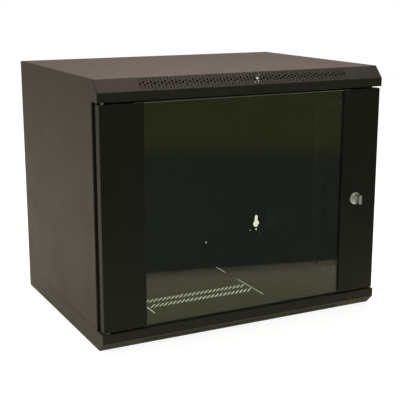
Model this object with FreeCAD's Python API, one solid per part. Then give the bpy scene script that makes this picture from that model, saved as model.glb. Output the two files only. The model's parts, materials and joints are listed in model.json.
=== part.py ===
import FreeCAD, Part
import os
from math import atan2, cos, hypot, pi, radians, sin, sqrt, tan

os.makedirs("parts", exist_ok=True)

# A 19 inch wall mount network cabinet, nine units high, with a glass door.
# Millimetres. The origin is the centre of the underside, on the floor plane.
# +X is to the right, +Y goes back to the wall and +Z is up, so the door faces -Y.
# Pieces that exist on both sides are drawn on the right and mirrored.

# ---- cabinet body -------------------------------------------------------------------------
width = 600.0
depth = 450.0
height = 495.0
sheet = 1.2  # painted steel of the body and the door
bend_radius = 1.0  # inside radius of every fold
weld_gap = 0.1  # between sheets that are spot welded flat on each other
seam = 0.5  # open seam between neighbouring panels
flange = 14.0  # width of a plain stiffening fold

roof_lip = 16.7  # upright strip above the door
roof_chamfer_height = 22.7
roof_chamfer_depth = 20.6
base_lip = 17.1
base_chamfer_height = 18.2
base_chamfer_depth = 17.9
lip_return = 28.0  # how far the lips fold back, which is also where the side panels begin
base_side_height = 37.4  # the pan's side walls, outside the side panels' tabs
side_tab = 26.0  # how far a side panel's tab reaches down inside the base pan
back_fold = 21.6  # the back panel's fold over the roof

# ---- graduated perforation of the two chamfers -----------------------------------------------
column_pitch = 6.94
column_count = 63
hole_large = 4.5  # alone in the middle of the even columns
hole_medium = 4.0  # in pairs in the odd columns
hole_small = 2.3  # outside both
even_small_row = 6.2  # distances from the middle of the slope
odd_medium_row = 3.25
odd_small_row = 8.7
roof_margin = 3.0  # least steel between a hole and the end of the slope
base_margin = 5.5  # the base's shorter slope takes only the large and medium holes

# ---- floor of the base pan -------------------------------------------------------------------
knockout_width = 261.0
knockout_slit = 3.5
knockout_tie = 40.0  # steel left between the two slits of a knock-out's long edge
fan_panel_front = -77.4
fan_panel_depth = 133.4
cable_panel_front = 96.0
cable_panel_depth = 64.0
vent_count = 24  # slanted slots in each row
vent_pitch = 10.0
vent_rows = (-29.0, 2.0)
vent_length = 31.0
vent_width = 2.4
vent_slant = 38.0  # degrees away from the depth of the cabinet
tie_hole = 3.5
tie_hole_pitch = 6.2
tie_hole_inset = 30.0  # from the cabinet's side
tie_hole_row = -42.7

# ---- wall fixing in the back panel --------------------------------------------------------
fixing_inset = 20.0  # from the cabinet's side
fixing_bottom = 72.0  # to the lower keyholes' round entries
fixing_spacing = 350.0  # between the lower and the upper ones
keyhole_entry = 17.0
keyhole_slot = 9.0
keyhole_rise = 22.0  # from the middle of the entry to the top of the slot
fixing_hole = 6.5
fixing_hole_drop = 13.0
pilot_hole = 4.0
pilot_hole_offset = (17.0, 15.0)  # inwards and down from the keyhole's entry
cable_tie_hole = 8.0
cable_tie_hole_place = (140.0, 41.0)

# ---- 19 inch rails, nine units of 44.45 mm ---------------------------------------------------
unit_height = 44.45
unit_count = 9
unit_holes = (6.35, 22.225, 38.1)
rail_hole = 9.5
rail_hole_half_span = 232.55
rail_sheet = 1.5
rail_land_inner = 7.35  # from the holes' middle to the rail's edges
rail_land_outer = 10.45
rail_setback = 113.0  # behind the cabinet's front
rail_depth = 35.0
rail_lip = 8.0
rail_end_gap = 0.4

# ---- depth bars that carry the rails -----------------------------------------------------------
bar_inset = 71.0  # from the underside and the top to the bars' middle
bar_height = 40.0
bar_flange = 14.0
bar_front_gap = 40.0  # from the cabinet's front and back to the bars' ends
bar_back_gap = 70.0
bar_slot_gap = (40.0, 55.0)  # from the bar's front and back end to its slots
bar_slot_tie = 20.0  # steel between the two slots
bar_bolt_inset = 17.0  # from each end of the bar to its bolt
standoff_height = 30.0
standoff_tab = 32.0
standoff_foot = 18.0

# ---- screws ------------------------------------------------------------------------------------
bolt_radius = 3.0
bolt_hole_radius = 3.3
bolt_head_flats = 10.0
bolt_head_height = 4.0
washer_flats = 14.0
bolt_length = 11.0
nut_height = 5.0

# ---- door ----------------------------------------------------------------------------------------
door_side_gap = 3.0  # between the door's edge and the cabinet's side
door_gap = 3.5  # above and below the door
door_thickness = 18.7
strip_width = 85.0
strip_back_fold = 14.0
strip_hem = 3.2
glass = 5.0
glass_overlap = 17.0  # how far the pane reaches behind each strip
tape = 2.3  # bonding tape between strip and glass
tape_width = 13.5
gasket = 1.0
clamp_end_gap = 16.7  # from the door's top and bottom
clamp_on_glass = 13.0
clamp_on_strip = 18.0
clamp_step = 1.5  # from the glass edge to the clamp's step
clamp_stud_offset = 10.8  # from the step to the studs
clamp_stud_radius = 2.5
clamp_nut_flats = 8.0
clamp_nut_height = 4.0
clamp_stud_inset = 30.0  # from the clamp's ends
clamp_stud_middle = 50.0  # above the middle of the door, clear of the lock
clamp_stud_length = 8.4
mating_gap = 0.1  # between flat pieces that are screwed together
fit = 0.05  # radial running clearance of a pin

# ---- hinge ---------------------------------------------------------------------------------------
hinge_inset = 10.0  # from the door's edge to the pivot
hinge_setback = 9.0  # from the door's face to the pivot
pin_radius = 3.0
pin_head_radius = 5.5
pin_head = 1.5
pin_shoulder_radius = 5.0
pin_shoulder = 1.0
pin_reach = 8.0  # above the door's lower tab
plunger_reach = 6.9  # above the roof's lip
plunger_length = 58.0
plunger_arm = 27.0
plunger_arm_angle = 40.0  # degrees from +X towards the back
collar_radius = 5.2
collar_height = 2.2
stop_gap = 0.3
guide_depth = 36.4  # below the door's top
guide_leg = 18.0
guide_reach = 18.5
guide_width = 14.0
spring_wire = 1.2
spring_radius = 4.4
spring_turn_count = 5
spring_side_count = 7  # straight runs in each turn

# ---- lock ---------------------------------------------------------------------------------------
lock_inset = 51.4  # from the door's edge to the lock's axis
lock_drop = 14.0  # below the middle of the cabinet
rosette_radius = 12.25
rosette_height = 3.5
rosette_chamfer = 1.6
barrel_radius = 9.0
barrel_flats = 16.0
barrel_play = 0.2
lock_nut_flats = 24.0
lock_nut_height = 4.0
spindle_radius = 4.5
knob_radius = 8.0
knob_height = 2.0
wing_reach = 14.0
wing_height = 18.0
wing_thickness = 6.0
wing_corner = 2.5
cam_sheet = 2.0
cam_length = 45.0
cam_width = 16.0
cam_square = 7.0
cam_gap = 1.2  # behind the frame that it locks on, and behind the lock's barrel
cam_screw_radius = 2.0
cam_screw_head_radius = 4.2
cam_screw_head = 2.6
cam_screw_reach = 9.0
cam_screw_tip_gap = 1.0
cam_screw_slot = 1.0

# ---- small rubber and earthing pieces -----------------------------------------------------------
buffer_radius = 5.5
buffer_inset = 50.0  # from the door's top and bottom
buffer_stem_radius = 1.9
buffer_stem = 3.4
earth_inset = 30.0  # from the cabinet's left side
earth_setback = 75.0  # behind the cabinet's front
earth_stud_height = 17.0
washer_height = 1.0

# ---- sizes that follow ------------------------------------------------------------------------
half_width = width / 2
front = -depth / 2
back = depth / 2
inner_half_width = half_width - sheet  # inside faces of the side panels
cover_half_width = inner_half_width - seam  # roof and back panel, between the side panels
side_front = front + lip_return
roof_edge = roof_chamfer_height + roof_lip  # below the top
base_edge = base_chamfer_height + base_lip
tab_outer = inner_half_width - weld_gap
panel_bottom = base_side_height + seam
back_face = back - sheet
roof_back = back - back_fold - seam
floor_back = back_face - seam

fixing_half_width = half_width - fixing_inset
fixing_rows = (fixing_bottom, fixing_bottom + fixing_spacing)

rail_inner = rail_hole_half_span - rail_land_inner
rail_outer = rail_hole_half_span + rail_land_outer
rail_front = front + rail_setback
bar_rows = (bar_inset, height - bar_inset)
bar_face = rail_outer + mating_gap
bar_front = front + bar_front_gap
bar_back = back - bar_back_gap
bar_bolt_rows = (bar_front + bar_bolt_inset, bar_back - bar_bolt_inset)
rail_bolt_row = rail_front + rail_depth / 2

door_bottom = base_edge + door_gap
door_top = height - roof_edge - door_gap
door_middle = (door_bottom + door_top) / 2
door_height = door_top - door_bottom
door_edge = half_width - door_side_gap
door_back = front + door_thickness
strip_inner = door_edge - strip_width
strip_skin = front + sheet  # inside face of the strips' fronts
glass_front = strip_skin + tape
glass_back = glass_front + glass
glass_edge = strip_inner + glass_overlap
pivot = (-door_edge + hinge_inset, front + hinge_setback)
clamp_length = door_height - 2 * clamp_end_gap
clamp_stud_reach = clamp_length / 2 - clamp_stud_inset
clamp_stud_heights = (-clamp_stud_reach, clamp_stud_middle, clamp_stud_reach)
stud_x = glass_edge + clamp_step + clamp_stud_offset
lock_axis = door_edge - lock_inset
lock_height = height / 2 - lock_drop
cam_front = side_front + sheet + cam_gap
buffer_x = inner_half_width - flange / 2
buffer_heights = (door_bottom + buffer_inset, door_top - buffer_inset)
earth_place = (-half_width + earth_inset, front + earth_setback)


def V(x, y, z=0.0):
    return FreeCAD.Vector(x, y, z)


UP = V(0, 0, 1)
RIGHT = V(1, 0, 0)
BACKWARD = V(0, 1, 0)
TINY = 0.5  # how far a cutting tool runs past the face it opens


# ---- building blocks ---------------------------------------------------------------------------
def box(x, y, z):
    """Block between the pairs of limits x, y and z."""
    return Part.makeBox(x[1] - x[0], y[1] - y[0], z[1] - z[0], V(x[0], y[0], z[0]))


def rod(start, direction, radius, length):
    return Part.makeCylinder(radius, length, start, direction)


def prism(points, sweep):
    """Solid with the polygon through the points as its base."""
    return Part.Face(Part.makePolygon(points + points[:1])).extrude(sweep)


def polygon(start, direction, sides, radius, length, turn=0.0):
    """Regular prism along a direction; turn is in degrees."""
    across = direction.cross(UP if abs(direction.z) < 0.9 else RIGHT).normalize()
    other = direction.cross(across)
    corners = []
    for i in range(sides):
        angle = 2 * pi * i / sides + radians(turn)
        corners.append(start + across * (radius * cos(angle)) + other * (radius * sin(angle)))
    return prism(corners, direction * length)


def corner_radius(flats):
    """Radius to the corners of a hexagon of the given width across flats."""
    return flats / 2 / cos(pi / 6)


def hexagon(start, direction, flats, length):
    return polygon(start, direction, 6, corner_radius(flats), length)


def facet_rod(start, direction, radius, length, sides=8):
    """Prism as large in area as the small round bar or hole that it stands for."""
    same_area = radius * sqrt(2 * pi / (sides * sin(2 * pi / sides)))
    return polygon(start, direction, sides, same_area, length, 180.0 / sides)


def bore(start, direction, radius, length):
    """Tool for a bore that a pin of the given radius turns in, with twelve flats around it."""
    return polygon(start, direction, 12, (radius + fit) / cos(pi / 12), length)


def fuse(shapes):
    return shapes[0].multiFuse(shapes[1:]).removeSplitter()


def cut(shape, tools):
    return shape.cut(Part.makeCompound(tools))


def mirror(shape):
    return shape.mirror(V(0, 0), RIGHT)


def mitred(path, offset):
    """The flat path moved to its left by the offset, its corners still sharp."""
    normals = []
    for start, end in zip(path, path[1:]):
        length = hypot(end[0] - start[0], end[1] - start[1])
        normals.append(((start[1] - end[1]) / length, (end[0] - start[0]) / length))
    moved = []
    for point, n, m in zip(path, normals[:1] + normals, normals + normals[-1:]):
        scale = offset / (1 + n[0] * m[0] + n[1] * m[1])
        moved.append((point[0] + scale * (n[0] + m[0]), point[1] + scale * (n[1] + m[1])))
    return moved


def turn_at(before, corner, after):
    """Angle by which a path turns left at a corner."""
    a, b = (corner[0] - before[0], corner[1] - before[1]), (after[0] - corner[0], after[1] - corner[1])
    return atan2(a[0] * b[1] - a[1] * b[0], a[0] * b[0] + a[1] * b[1])


def rounded(path, radii, place, smooth=True):
    """Edges along a flat path, with an arc of the given radius at each inner corner.

    place turns the path's two numbers into a point in space. Where smooth is false a flat
    stands for each arc.
    """
    edges, start = [], V(*path[0])
    for before, corner, after, radius in zip(path, path[1:], path[2:], radii):
        turn = turn_at(before, corner, after)
        middle, reach = V(*corner), radius * tan(abs(turn) / 2)
        arriving = (middle - V(*before)).normalize()
        leaving = (V(*after) - middle).normalize()
        first, last = middle - arriving * reach, middle + leaving * reach
        inward = (leaving - arriving).normalize()
        top = middle + inward * (radius / cos(turn / 2) - radius)
        edges.append(Part.makeLine(place(start.x, start.y), place(first.x, first.y)))
        if smooth:
            arc = Part.Arc(place(first.x, first.y), place(top.x, top.y), place(last.x, last.y))
            edges.append(arc.toShape())
        else:
            edges.append(Part.makeLine(place(first.x, first.y), place(last.x, last.y)))
        start = last
    edges.append(Part.makeLine(place(start.x, start.y), place(*path[-1])))
    return edges


def face_between(edges, others):
    """Face between two open runs of edges that start on the same side."""
    ends = [(run[0].Vertexes[0].Point, run[-1].Vertexes[-1].Point) for run in (edges, others)]
    closing = [Part.makeLine(ends[0][i], ends[1][i]) for i in (0, 1)]
    return Part.Face(Part.Wire(Part.__sortEdges__(edges + others + closing)))


def bent_sheet(path, place, sweep, thickness=sheet, smooth=True):
    """Folded sheet whose one face follows the path and whose metal lies to the left of it."""
    turns = [turn_at(*corner) for corner in zip(path, path[1:], path[2:])]
    # A path that turns left runs around the outside of the fold, and its offset around the inside.
    on_path = [bend_radius + (thickness if turn > 0 else 0.0) for turn in turns]
    on_offset = [bend_radius + (thickness if turn < 0 else 0.0) for turn in turns]
    near = rounded(path, on_path, place, smooth)
    far = rounded(mitred(path, thickness), on_offset, place, smooth)
    return face_between(near, far).extrude(sweep)


def plate(outline, radii, x, thickness=sheet):
    """Upright plate across X, with a rounded outline that its last point closes to its first."""
    edges = rounded(outline, radii, lambda y, z: V(x, y, z))
    closing = Part.makeLine(edges[-1].Vertexes[-1].Point, edges[0].Vertexes[0].Point)
    return Part.Face(Part.Wire(Part.__sortEdges__(edges + [closing]))).extrude(V(thickness, 0))


# ---- roof and base -------------------------------------------------------------------------------
def cover_path(chamfer_depth, chamfer_height, edge, rear, rear_fold):
    """Outside of a cover from its lip's fold to its rear, measured in depth and from its flat face."""
    return [
        (side_front, edge),
        (front, edge),
        (front, chamfer_height),
        (front + chamfer_depth, 0.0),
        (rear, 0.0),
        (rear, rear_fold),
    ]


def perforation(chamfer_depth, chamfer_height, margin, to_height):
    """Tools for the graduated pattern of a chamfer: large holes in the middle, small ones outside.

    to_height turns a distance from the cover's flat face into a height.
    """
    slope = hypot(chamfer_depth, chamfer_height)
    middle = V(0, front + chamfer_depth / 2, to_height(chamfer_height / 2))
    upper = V(0, front + chamfer_depth, to_height(0))
    along = (upper - V(0, front, to_height(chamfer_height))).normalize()
    through = along.cross(RIGHT).normalize()
    even = [(0.0, hole_large), (-even_small_row, hole_small), (even_small_row, hole_small)]
    odd = [(odd_medium_row * s, hole_medium) for s in (-1, 1)]
    odd += [(odd_small_row * s, hole_small) for s in (-1, 1)]
    tools = []
    for column in range(column_count):
        x = (column - (column_count - 1) / 2) * column_pitch
        for offset, diameter in odd if column % 2 else even:
            if abs(offset) + diameter / 2 + margin <= slope / 2:
                start = middle + RIGHT * x + along * offset - through * (2 * sheet)
                sides = 3 if diameter == hole_small else 4  # keeps the model light
                tools.append(facet_rod(start, through, diameter / 2, 4 * sheet, sides))
    return tools


def roof_cover():
    def place(y, z):
        return V(-cover_half_width, y, height - z)

    path = cover_path(roof_chamfer_depth, roof_chamfer_height, roof_edge, roof_back, flange)
    pan = bent_sheet(path, place, V(2 * cover_half_width, 0))
    side_fold = box(
        (cover_half_width - sheet, cover_half_width),
        (side_front, roof_back - sheet - seam),
        (height - flange, height - sheet),
    )
    tools = perforation(roof_chamfer_depth, roof_chamfer_height, roof_margin, lambda z: height - z)
    tools.append(
        bore(V(*pivot, height - roof_edge - TINY), UP, pin_radius, sheet + 2 * TINY)
    )
    return cut(fuse([pan, side_fold, mirror(side_fold)]), tools)


def slanted_slot(x, y):
    """Tool for one vent slot of the floor, which leans to the right as it goes back."""
    reach, half = V(0, vent_length / 2), V(vent_width / 2, 0)
    corners = [-reach - half, -reach + half, reach + half, reach - half]
    turn = FreeCAD.Rotation(UP, -vent_slant)
    return prism([turn.multVec(c) + V(x, y, -TINY) for c in corners], UP * (sheet + 2 * TINY))


def knockout(near, size):
    """Tools for the slits around a knock-out: one on each side, two in front and two behind."""
    outer = knockout_width / 2
    through = (-TINY, sheet + TINY)
    tie = knockout_tie / 2
    corner = 2 * knockout_slit
    tools = []
    for side in (-1, 1):
        x = sorted((side * outer, side * (outer - knockout_slit)))
        tools.append(box(x, (near + corner, near + size - corner), through))
        long_edge = sorted((side * tie, side * (outer - corner)))
        for y in (near, near + size - knockout_slit):
            tools.append(box(long_edge, (y, y + knockout_slit), through))
    return tools


def base_pan():
    def place(y, z):
        return V(-inner_half_width, y, z)

    path = cover_path(base_chamfer_depth, base_chamfer_height, base_edge, floor_back, flange)
    pan = bent_sheet(path, place, V(2 * inner_half_width, 0))
    outline = [
        (side_front, base_side_height),
        (side_front, base_edge),
        (front, base_edge),
        (front, base_chamfer_height),
        (front + base_chamfer_depth, 0.0),
        (back, 0.0),
        (back, base_side_height),
    ]
    outside = bend_radius + sheet
    wall = plate(outline, [bend_radius / 2] + 4 * [outside], inner_half_width)
    tools = perforation(base_chamfer_depth, base_chamfer_height, base_margin, lambda z: z)
    first = -(vent_count - 1) / 2
    tools += [slanted_slot((first + i) * vent_pitch, y) for y in vent_rows for i in range(vent_count)]
    tools += knockout(fan_panel_front, fan_panel_depth)
    tools += knockout(cable_panel_front, cable_panel_depth)
    tools.append(
        bore(V(*pivot, base_edge - sheet - TINY), UP, pin_radius, sheet + 2 * TINY)
    )
    for side in (-1, 1):
        for step in (-1, 1):
            x = side * (half_width - tie_hole_inset + step * tie_hole_pitch / 2)
            start = V(x, tie_hole_row, -TINY)
            tools.append(facet_rod(start, UP, tie_hole / 2, sheet + 2 * TINY, 4))
    return cut(fuse([pan, wall, mirror(wall)]), tools)


# ---- side and back panels --------------------------------------------------------------------------
def side_panel():
    """Right side: a folded sheet, its ear beside the roof's lip, and the tab inside the base pan."""
    shoulder = height - roof_edge
    wall = bent_sheet(
        [(half_width - flange, side_front), (half_width, side_front), (half_width, back)],
        lambda x, y: V(x, y, panel_bottom),
        UP * (shoulder - panel_bottom),
    )
    outline = [
        (back, shoulder),
        (back, height),
        (front + roof_chamfer_depth, height),
        (front, height - roof_chamfer_height),
        (front, shoulder),
    ]
    outside = bend_radius + sheet
    ear = plate(outline, [bend_radius / 2, outside, outside], inner_half_width)
    run = (side_front + flange, back_face - flange - seam)
    overlap = (panel_bottom, panel_bottom + sheet)
    tab = box((tab_outer - sheet, tab_outer), run, (panel_bottom - side_tab, overlap[1]))
    joggle = box((tab_outer, inner_half_width + sheet / 2), run, overlap)
    return fuse([wall, ear, tab, joggle])


def lock_side_panel():
    """The right side, whose front fold also takes the stems of the door's rubber buffers."""
    through = sheet + 2 * TINY
    return cut(
        side_panel(),
        [
            facet_rod(V(buffer_x, side_front - TINY, z), BACKWARD, buffer_stem_radius + barrel_play, through)
            for z in buffer_heights
        ],
    )


def keyhole(x, z):
    """Tools for one keyhole with its round fixing hole below and its pilot hole inwards of it."""
    start, through = V(x, back_face - TINY, z), sheet + 2 * TINY
    top = keyhole_rise - keyhole_slot / 2
    slot = box(
        (x - keyhole_slot / 2, x + keyhole_slot / 2), (start.y, start.y + through), (z, z + top)
    )
    inward = -1 if x > 0 else 1
    pilot = V(x + inward * pilot_hole_offset[0], start.y, z - pilot_hole_offset[1])
    return [
        facet_rod(start, BACKWARD, keyhole_entry / 2, through, 10),
        slot,
        facet_rod(start + UP * top, BACKWARD, keyhole_slot / 2, through, 6),
        rod(start - UP * fixing_hole_drop, BACKWARD, fixing_hole / 2, through),
        facet_rod(pilot, BACKWARD, pilot_hole / 2, through, 4),
    ]


def back_panel():
    fold_front = back - back_fold
    path = [(back, 0.0), (back, height), (fold_front, height), (fold_front, height - flange)]
    sweep = V(2 * cover_half_width, 0)
    panel = bent_sheet(path, lambda y, z: V(-cover_half_width, y, z), sweep, sheet, False)
    side_fold = box(
        (cover_half_width - sheet, cover_half_width),
        (back_face - flange, back_face),
        (base_side_height + seam, height - flange - seam),
    )
    tools = []
    for x in (-fixing_half_width, fixing_half_width):
        for z in fixing_rows:
            tools += keyhole(x, z)
    for side in (-1, 1):
        x, z = cable_tie_hole_place
        start = V(side * x, back_face - TINY, z)
        tools.append(facet_rod(start, BACKWARD, cable_tie_hole / 2, sheet + 2 * TINY, 6))
    return cut(fuse([panel, side_fold, mirror(side_fold)]), tools)


# ---- rails, depth bars and their screws ----------------------------------------------------------------
def rail():
    """Right 19 inch rail: three square holes to each unit, and a web that bolts to the bars."""
    path = [
        (rail_inner, rail_front + rail_lip),
        (rail_inner, rail_front),
        (rail_outer, rail_front),
        (rail_outer, rail_front + rail_depth),
    ]
    low = sheet + rail_end_gap
    length = height - 2 * low
    body = bent_sheet(path, lambda x, y: V(x, y, low), UP * length, rail_sheet, False)
    first = (height - unit_count * unit_height) / 2
    half = rail_hole / 2
    tools = []
    for unit in range(unit_count):
        for step in unit_holes:
            z = first + unit * unit_height + step
            tools.append(
                box(
                    (rail_hole_half_span - half, rail_hole_half_span + half),
                    (rail_front - TINY, rail_front + rail_sheet + TINY),
                    (z - half, z + half),
                )
            )
    tools += [bolt_hole(rail_outer - rail_sheet, rail_bolt_row, z) for z in bar_rows]
    return cut(body, tools)


def bolt_hole(x, y, z):
    """Tool for a screw hole through sheet that begins at x."""
    return facet_rod(V(x - TINY, y, z), RIGHT, bolt_hole_radius, rail_sheet + 2 * TINY, 6)


def depth_bar(z):
    """Right bar: a channel open to the wall, slotted so that the rail can stand at any depth."""
    half = bar_height / 2
    path = [
        (bar_face + bar_flange, z + half),
        (bar_face, z + half),
        (bar_face, z - half),
        (bar_face + bar_flange, z - half),
    ]
    length = bar_back - bar_front
    body = bent_sheet(path, lambda x, h: V(x, bar_front, h), BACKWARD * length, rail_sheet, False)
    through = (bar_face - TINY, bar_face + rail_sheet + TINY)
    slot = (z - bolt_hole_radius, z + bolt_hole_radius)
    slots_front, slots_back = bar_front + bar_slot_gap[0], bar_back - bar_slot_gap[1]
    tie = (slots_front + slots_back - bar_slot_tie) / 2
    tools = [box(through, ends, slot) for ends in ((slots_front, tie), (tie + bar_slot_tie, slots_back))]
    tools += [bolt_hole(bar_face, y, z) for y in bar_bolt_rows]
    return cut(body, tools)


def standoff(y, z, toward):
    """Z-shaped foot between a bar and the side wall; toward is the way to the bar's middle."""
    near = bar_face + rail_sheet + mating_gap
    far = inner_half_width - weld_gap - rail_sheet
    reach = standoff_tab / 2 * toward
    path = [
        (near, y - reach),
        (near, y + reach),
        (far, y + reach),
        (far, y + reach + standoff_foot * toward),
    ]
    if toward > 0:
        path.reverse()
    low = z - standoff_height / 2
    sweep = UP * standoff_height
    body = bent_sheet(path, lambda x, row: V(x, row, low), sweep, rail_sheet, False)
    return cut(body, [bolt_hole(near, y, z)])


def standoffs():
    """The right side's four feet."""
    rows = ((bar_bolt_rows[0], 1), (bar_bolt_rows[1], -1))
    return Part.makeCompound([standoff(y, z, toward) for y, toward in rows for z in bar_rows])


def bolt(x, y, z):
    """Hexagon bolt, pushed in along +X against a face at x."""
    start = V(x - mating_gap, y, z)
    head = hexagon(start, -RIGHT, bolt_head_flats, bolt_head_height)
    return fuse([head, polygon(start, RIGHT, 6, bolt_radius, bolt_length)])


def nut(x, y, z):
    start = V(x + mating_gap, y, z)
    body = hexagon(start, RIGHT, bolt_head_flats, nut_height)
    thread = polygon(start - RIGHT * TINY, RIGHT, 6, bolt_hole_radius, nut_height + 2 * TINY)
    return cut(body, [thread])


def bar_bolts():
    """Bolts that hold the right side's bars to the standoffs, whose holes are threaded."""
    return Part.makeCompound([bolt(bar_face, y, z) for y in bar_bolt_rows for z in bar_rows])


def rail_bolts():
    """Bolts that hold the right rail to its two bars."""
    face = rail_outer - rail_sheet
    return Part.makeCompound([bolt(face, rail_bolt_row, z) for z in bar_rows])


def rail_nuts():
    return Part.makeCompound([nut(bar_face + rail_sheet, rail_bolt_row, z) for z in bar_rows])


# ---- door -----------------------------------------------------------------------------------------
def door_strip():
    """Right steel strip of the door: hemmed beside the glass and folded back at the door's edge."""
    path = [
        (strip_inner, front + strip_hem),
        (strip_inner, front),
        (door_edge, front),
        (door_edge, door_back),
        (door_edge - strip_back_fold, door_back),
    ]
    sweep = UP * door_height
    skin = bent_sheet(path, lambda x, y: V(x, y, door_bottom), sweep, sheet, False)
    end = box(
        (glass_edge + clamp_step + 2 * sheet, door_edge - sheet / 2),
        (strip_skin - sheet / 2, door_back - sheet - weld_gap),
        (door_bottom, door_bottom + sheet),
    )
    ends = [end, end.translated(UP * (door_height - sheet))]
    length = clamp_stud_length + sheet / 2
    studs = [
        polygon(V(stud_x, strip_skin - sheet / 2, door_middle + z), BACKWARD, 6, clamp_stud_radius, length)
        for z in clamp_stud_heights
    ]
    return fuse([skin] + ends + studs)


def double_d(start, radius, flats, length):
    """Bar along +Y with two flats, as lock barrels have against turning."""
    body = polygon(start, BACKWARD, 16, radius, length)
    side, tall = flats / 2, 2 * radius
    return body.common(Part.makeBox(flats, length, 2 * tall, start - V(side, 0, tall)))


def lock_strip():
    start = V(lock_axis, front - TINY, lock_height)
    radius, flats = barrel_radius + barrel_play, barrel_flats + 2 * barrel_play
    return cut(door_strip(), [double_d(start, radius, flats, sheet + 2 * TINY)])


def hinge_strip():
    """Left strip, with a bored end for the lower pin and one for the plunger."""
    ends, length = (door_bottom, door_top - sheet), sheet + 2 * TINY
    holes = [bore(V(*pivot, z - TINY), UP, pin_radius, length) for z in ends]
    return cut(mirror(door_strip()), holes)


def door_glass():
    return box((-glass_edge, glass_edge), (glass_front, glass_back), (door_bottom, door_top))


def glass_tape():
    outer = glass_edge - sheet
    heights = (door_bottom + sheet, door_top - sheet)
    return box((outer - tape_width, outer), (strip_skin, glass_front), heights)


def clamp_limits():
    return door_middle - clamp_length / 2, door_middle + clamp_length / 2


def clamp_gasket():
    inner = glass_edge - clamp_on_glass + sheet
    return box((inner, glass_edge - sheet), (glass_back, glass_back + gasket), clamp_limits())


def glass_clamp():
    """Right clamp: a stepped bar that the strip's studs pull on to the glass edge."""
    on_glass = glass_back + gasket + mating_gap
    on_strip = strip_skin + mating_gap
    step = glass_edge + clamp_step
    path = [
        (step + clamp_on_strip, on_strip),
        (step, on_strip),
        (step, on_glass),
        (glass_edge - clamp_on_glass, on_glass),
    ]
    low, high = clamp_limits()
    # The path follows the side that touches strip and glass, so the metal lies behind it.
    path.reverse()
    body = bent_sheet(path, lambda x, y: V(x, y, low), UP * (high - low), sheet, False)
    return cut(body, [stud_hole(on_strip, z, sheet) for z in clamp_stud_heights])


def stud_hole(y, z, thickness):
    """Tool for the hole of a clamp stud through metal that begins at y."""
    start = V(stud_x, y - TINY, door_middle + z)
    return polygon(start, BACKWARD, 6, clamp_stud_radius + barrel_play, thickness + 2 * TINY)


def lock_clamp():
    """The clamp beside the lock, cut away around the lock's nut."""
    reach = corner_radius(lock_nut_flats) + 2 * mating_gap
    room = box(
        (lock_axis - reach, lock_axis + reach),
        (front, glass_front + sheet),
        (lock_height - reach, lock_height + reach),
    )
    return cut(glass_clamp(), [room])


def clamp_nuts():
    start_y = strip_skin + mating_gap + sheet + mating_gap
    nuts = []
    for z in clamp_stud_heights:
        body = hexagon(V(stud_x, start_y, door_middle + z), BACKWARD, clamp_nut_flats, clamp_nut_height)
        nuts.append(cut(body, [stud_hole(start_y, z, clamp_nut_height)]))
    return Part.makeCompound(nuts)


# ---- hinge -------------------------------------------------------------------------------------------
def lower_pin():
    """Riveted in the base's lip: head below, shoulder above, and the pivot that the door sits on."""
    under = V(*pivot, base_edge - sheet - fit)
    over = V(*pivot, base_edge + fit)
    tip = door_bottom + sheet + pin_reach
    shank = rod(under, UP, pin_radius, tip - under.z)
    return fuse(
        [
            shank,
            facet_rod(under, -UP, pin_head_radius, pin_head, 12),
            facet_rod(over, UP, pin_shoulder_radius, pin_shoulder, 12),
        ]
    )


def hinge_washer():
    low = base_edge + fit + pin_shoulder + mating_gap
    high = door_bottom - mating_gap
    collar = facet_rod(V(*pivot, low), UP, pin_head_radius, high - low, 12)
    return cut(collar, [bore(V(*pivot, low - TINY), UP, pin_radius + fit, high - low + 2 * TINY)])


def guide_level():
    return door_top - guide_depth


def swept(points, section):
    """Solid with the closed section carried along straight runs that meet in mitres."""
    pipe = Part.BRepOffsetAPI.MakePipeShell(Part.makePolygon(points))
    pipe.add(Part.makePolygon(section + section[:1]))
    pipe.setTransitionMode(1)
    pipe.build()
    pipe.makeSolid()
    return pipe.shape()


def plunger():
    """Upper hinge pin with twelve flats: its bent arm draws it down to free the door."""
    tip = height - roof_edge + plunger_reach
    foot = tip - plunger_length
    angle = radians(plunger_arm_angle)
    outward = V(cos(angle), sin(angle))
    bend = 2 * pin_radius
    spine = [V(*pivot, tip)]
    for step in (0, 30, 60, 90):
        turn = radians(step)
        spine.append(V(*pivot, foot + bend * (1 - sin(turn))) + outward * (bend * (1 - cos(turn))))
    spine.append(V(*pivot, foot) + outward * plunger_arm)
    corners = [2 * pi * i / 12 for i in range(12)]
    section = [spine[0] + V(pin_radius * cos(a), pin_radius * sin(a)) for a in corners]
    collar_top = door_top - sheet - stop_gap
    collar = facet_rod(V(*pivot, collar_top - collar_height), UP, collar_radius, collar_height, 12)
    return fuse([swept(spine, section), collar])


def plunger_guide():
    """Angle welded inside the left strip, with the bore that keeps the plunger upright."""
    outer = -door_edge + sheet + weld_gap
    level = guide_level()
    path = [(outer + guide_reach, level), (outer, level), (outer, level - guide_leg)]
    near = strip_skin + bend_radius
    sweep = BACKWARD * guide_width
    body = bent_sheet(path, lambda x, z: V(x, near, z), sweep, rail_sheet, False)
    return cut(body, [bore(V(*pivot, level - rail_sheet - TINY), UP, pin_radius, rail_sheet + 2 * TINY)])


def plunger_spring():
    """Compression spring between the guide and the plunger's collar."""
    half_wire = spring_wire / 2
    low = guide_level() + mating_gap + half_wire
    high = door_top - sheet - stop_gap - collar_height - mating_gap - half_wire
    steps = spring_side_count * spring_turn_count
    points = []
    for i in range(steps + 1):
        angle = 2 * pi * i / spring_side_count
        level = low + (high - low) * i / steps
        points.append(V(*pivot, level) + V(spring_radius * cos(angle), spring_radius * sin(angle)))
    corners = ((-1, -1), (1, -1), (1, 1), (-1, 1))
    return swept(points, [points[0] + V(half_wire * x, 0, half_wire * z) for x, z in corners])


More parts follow.
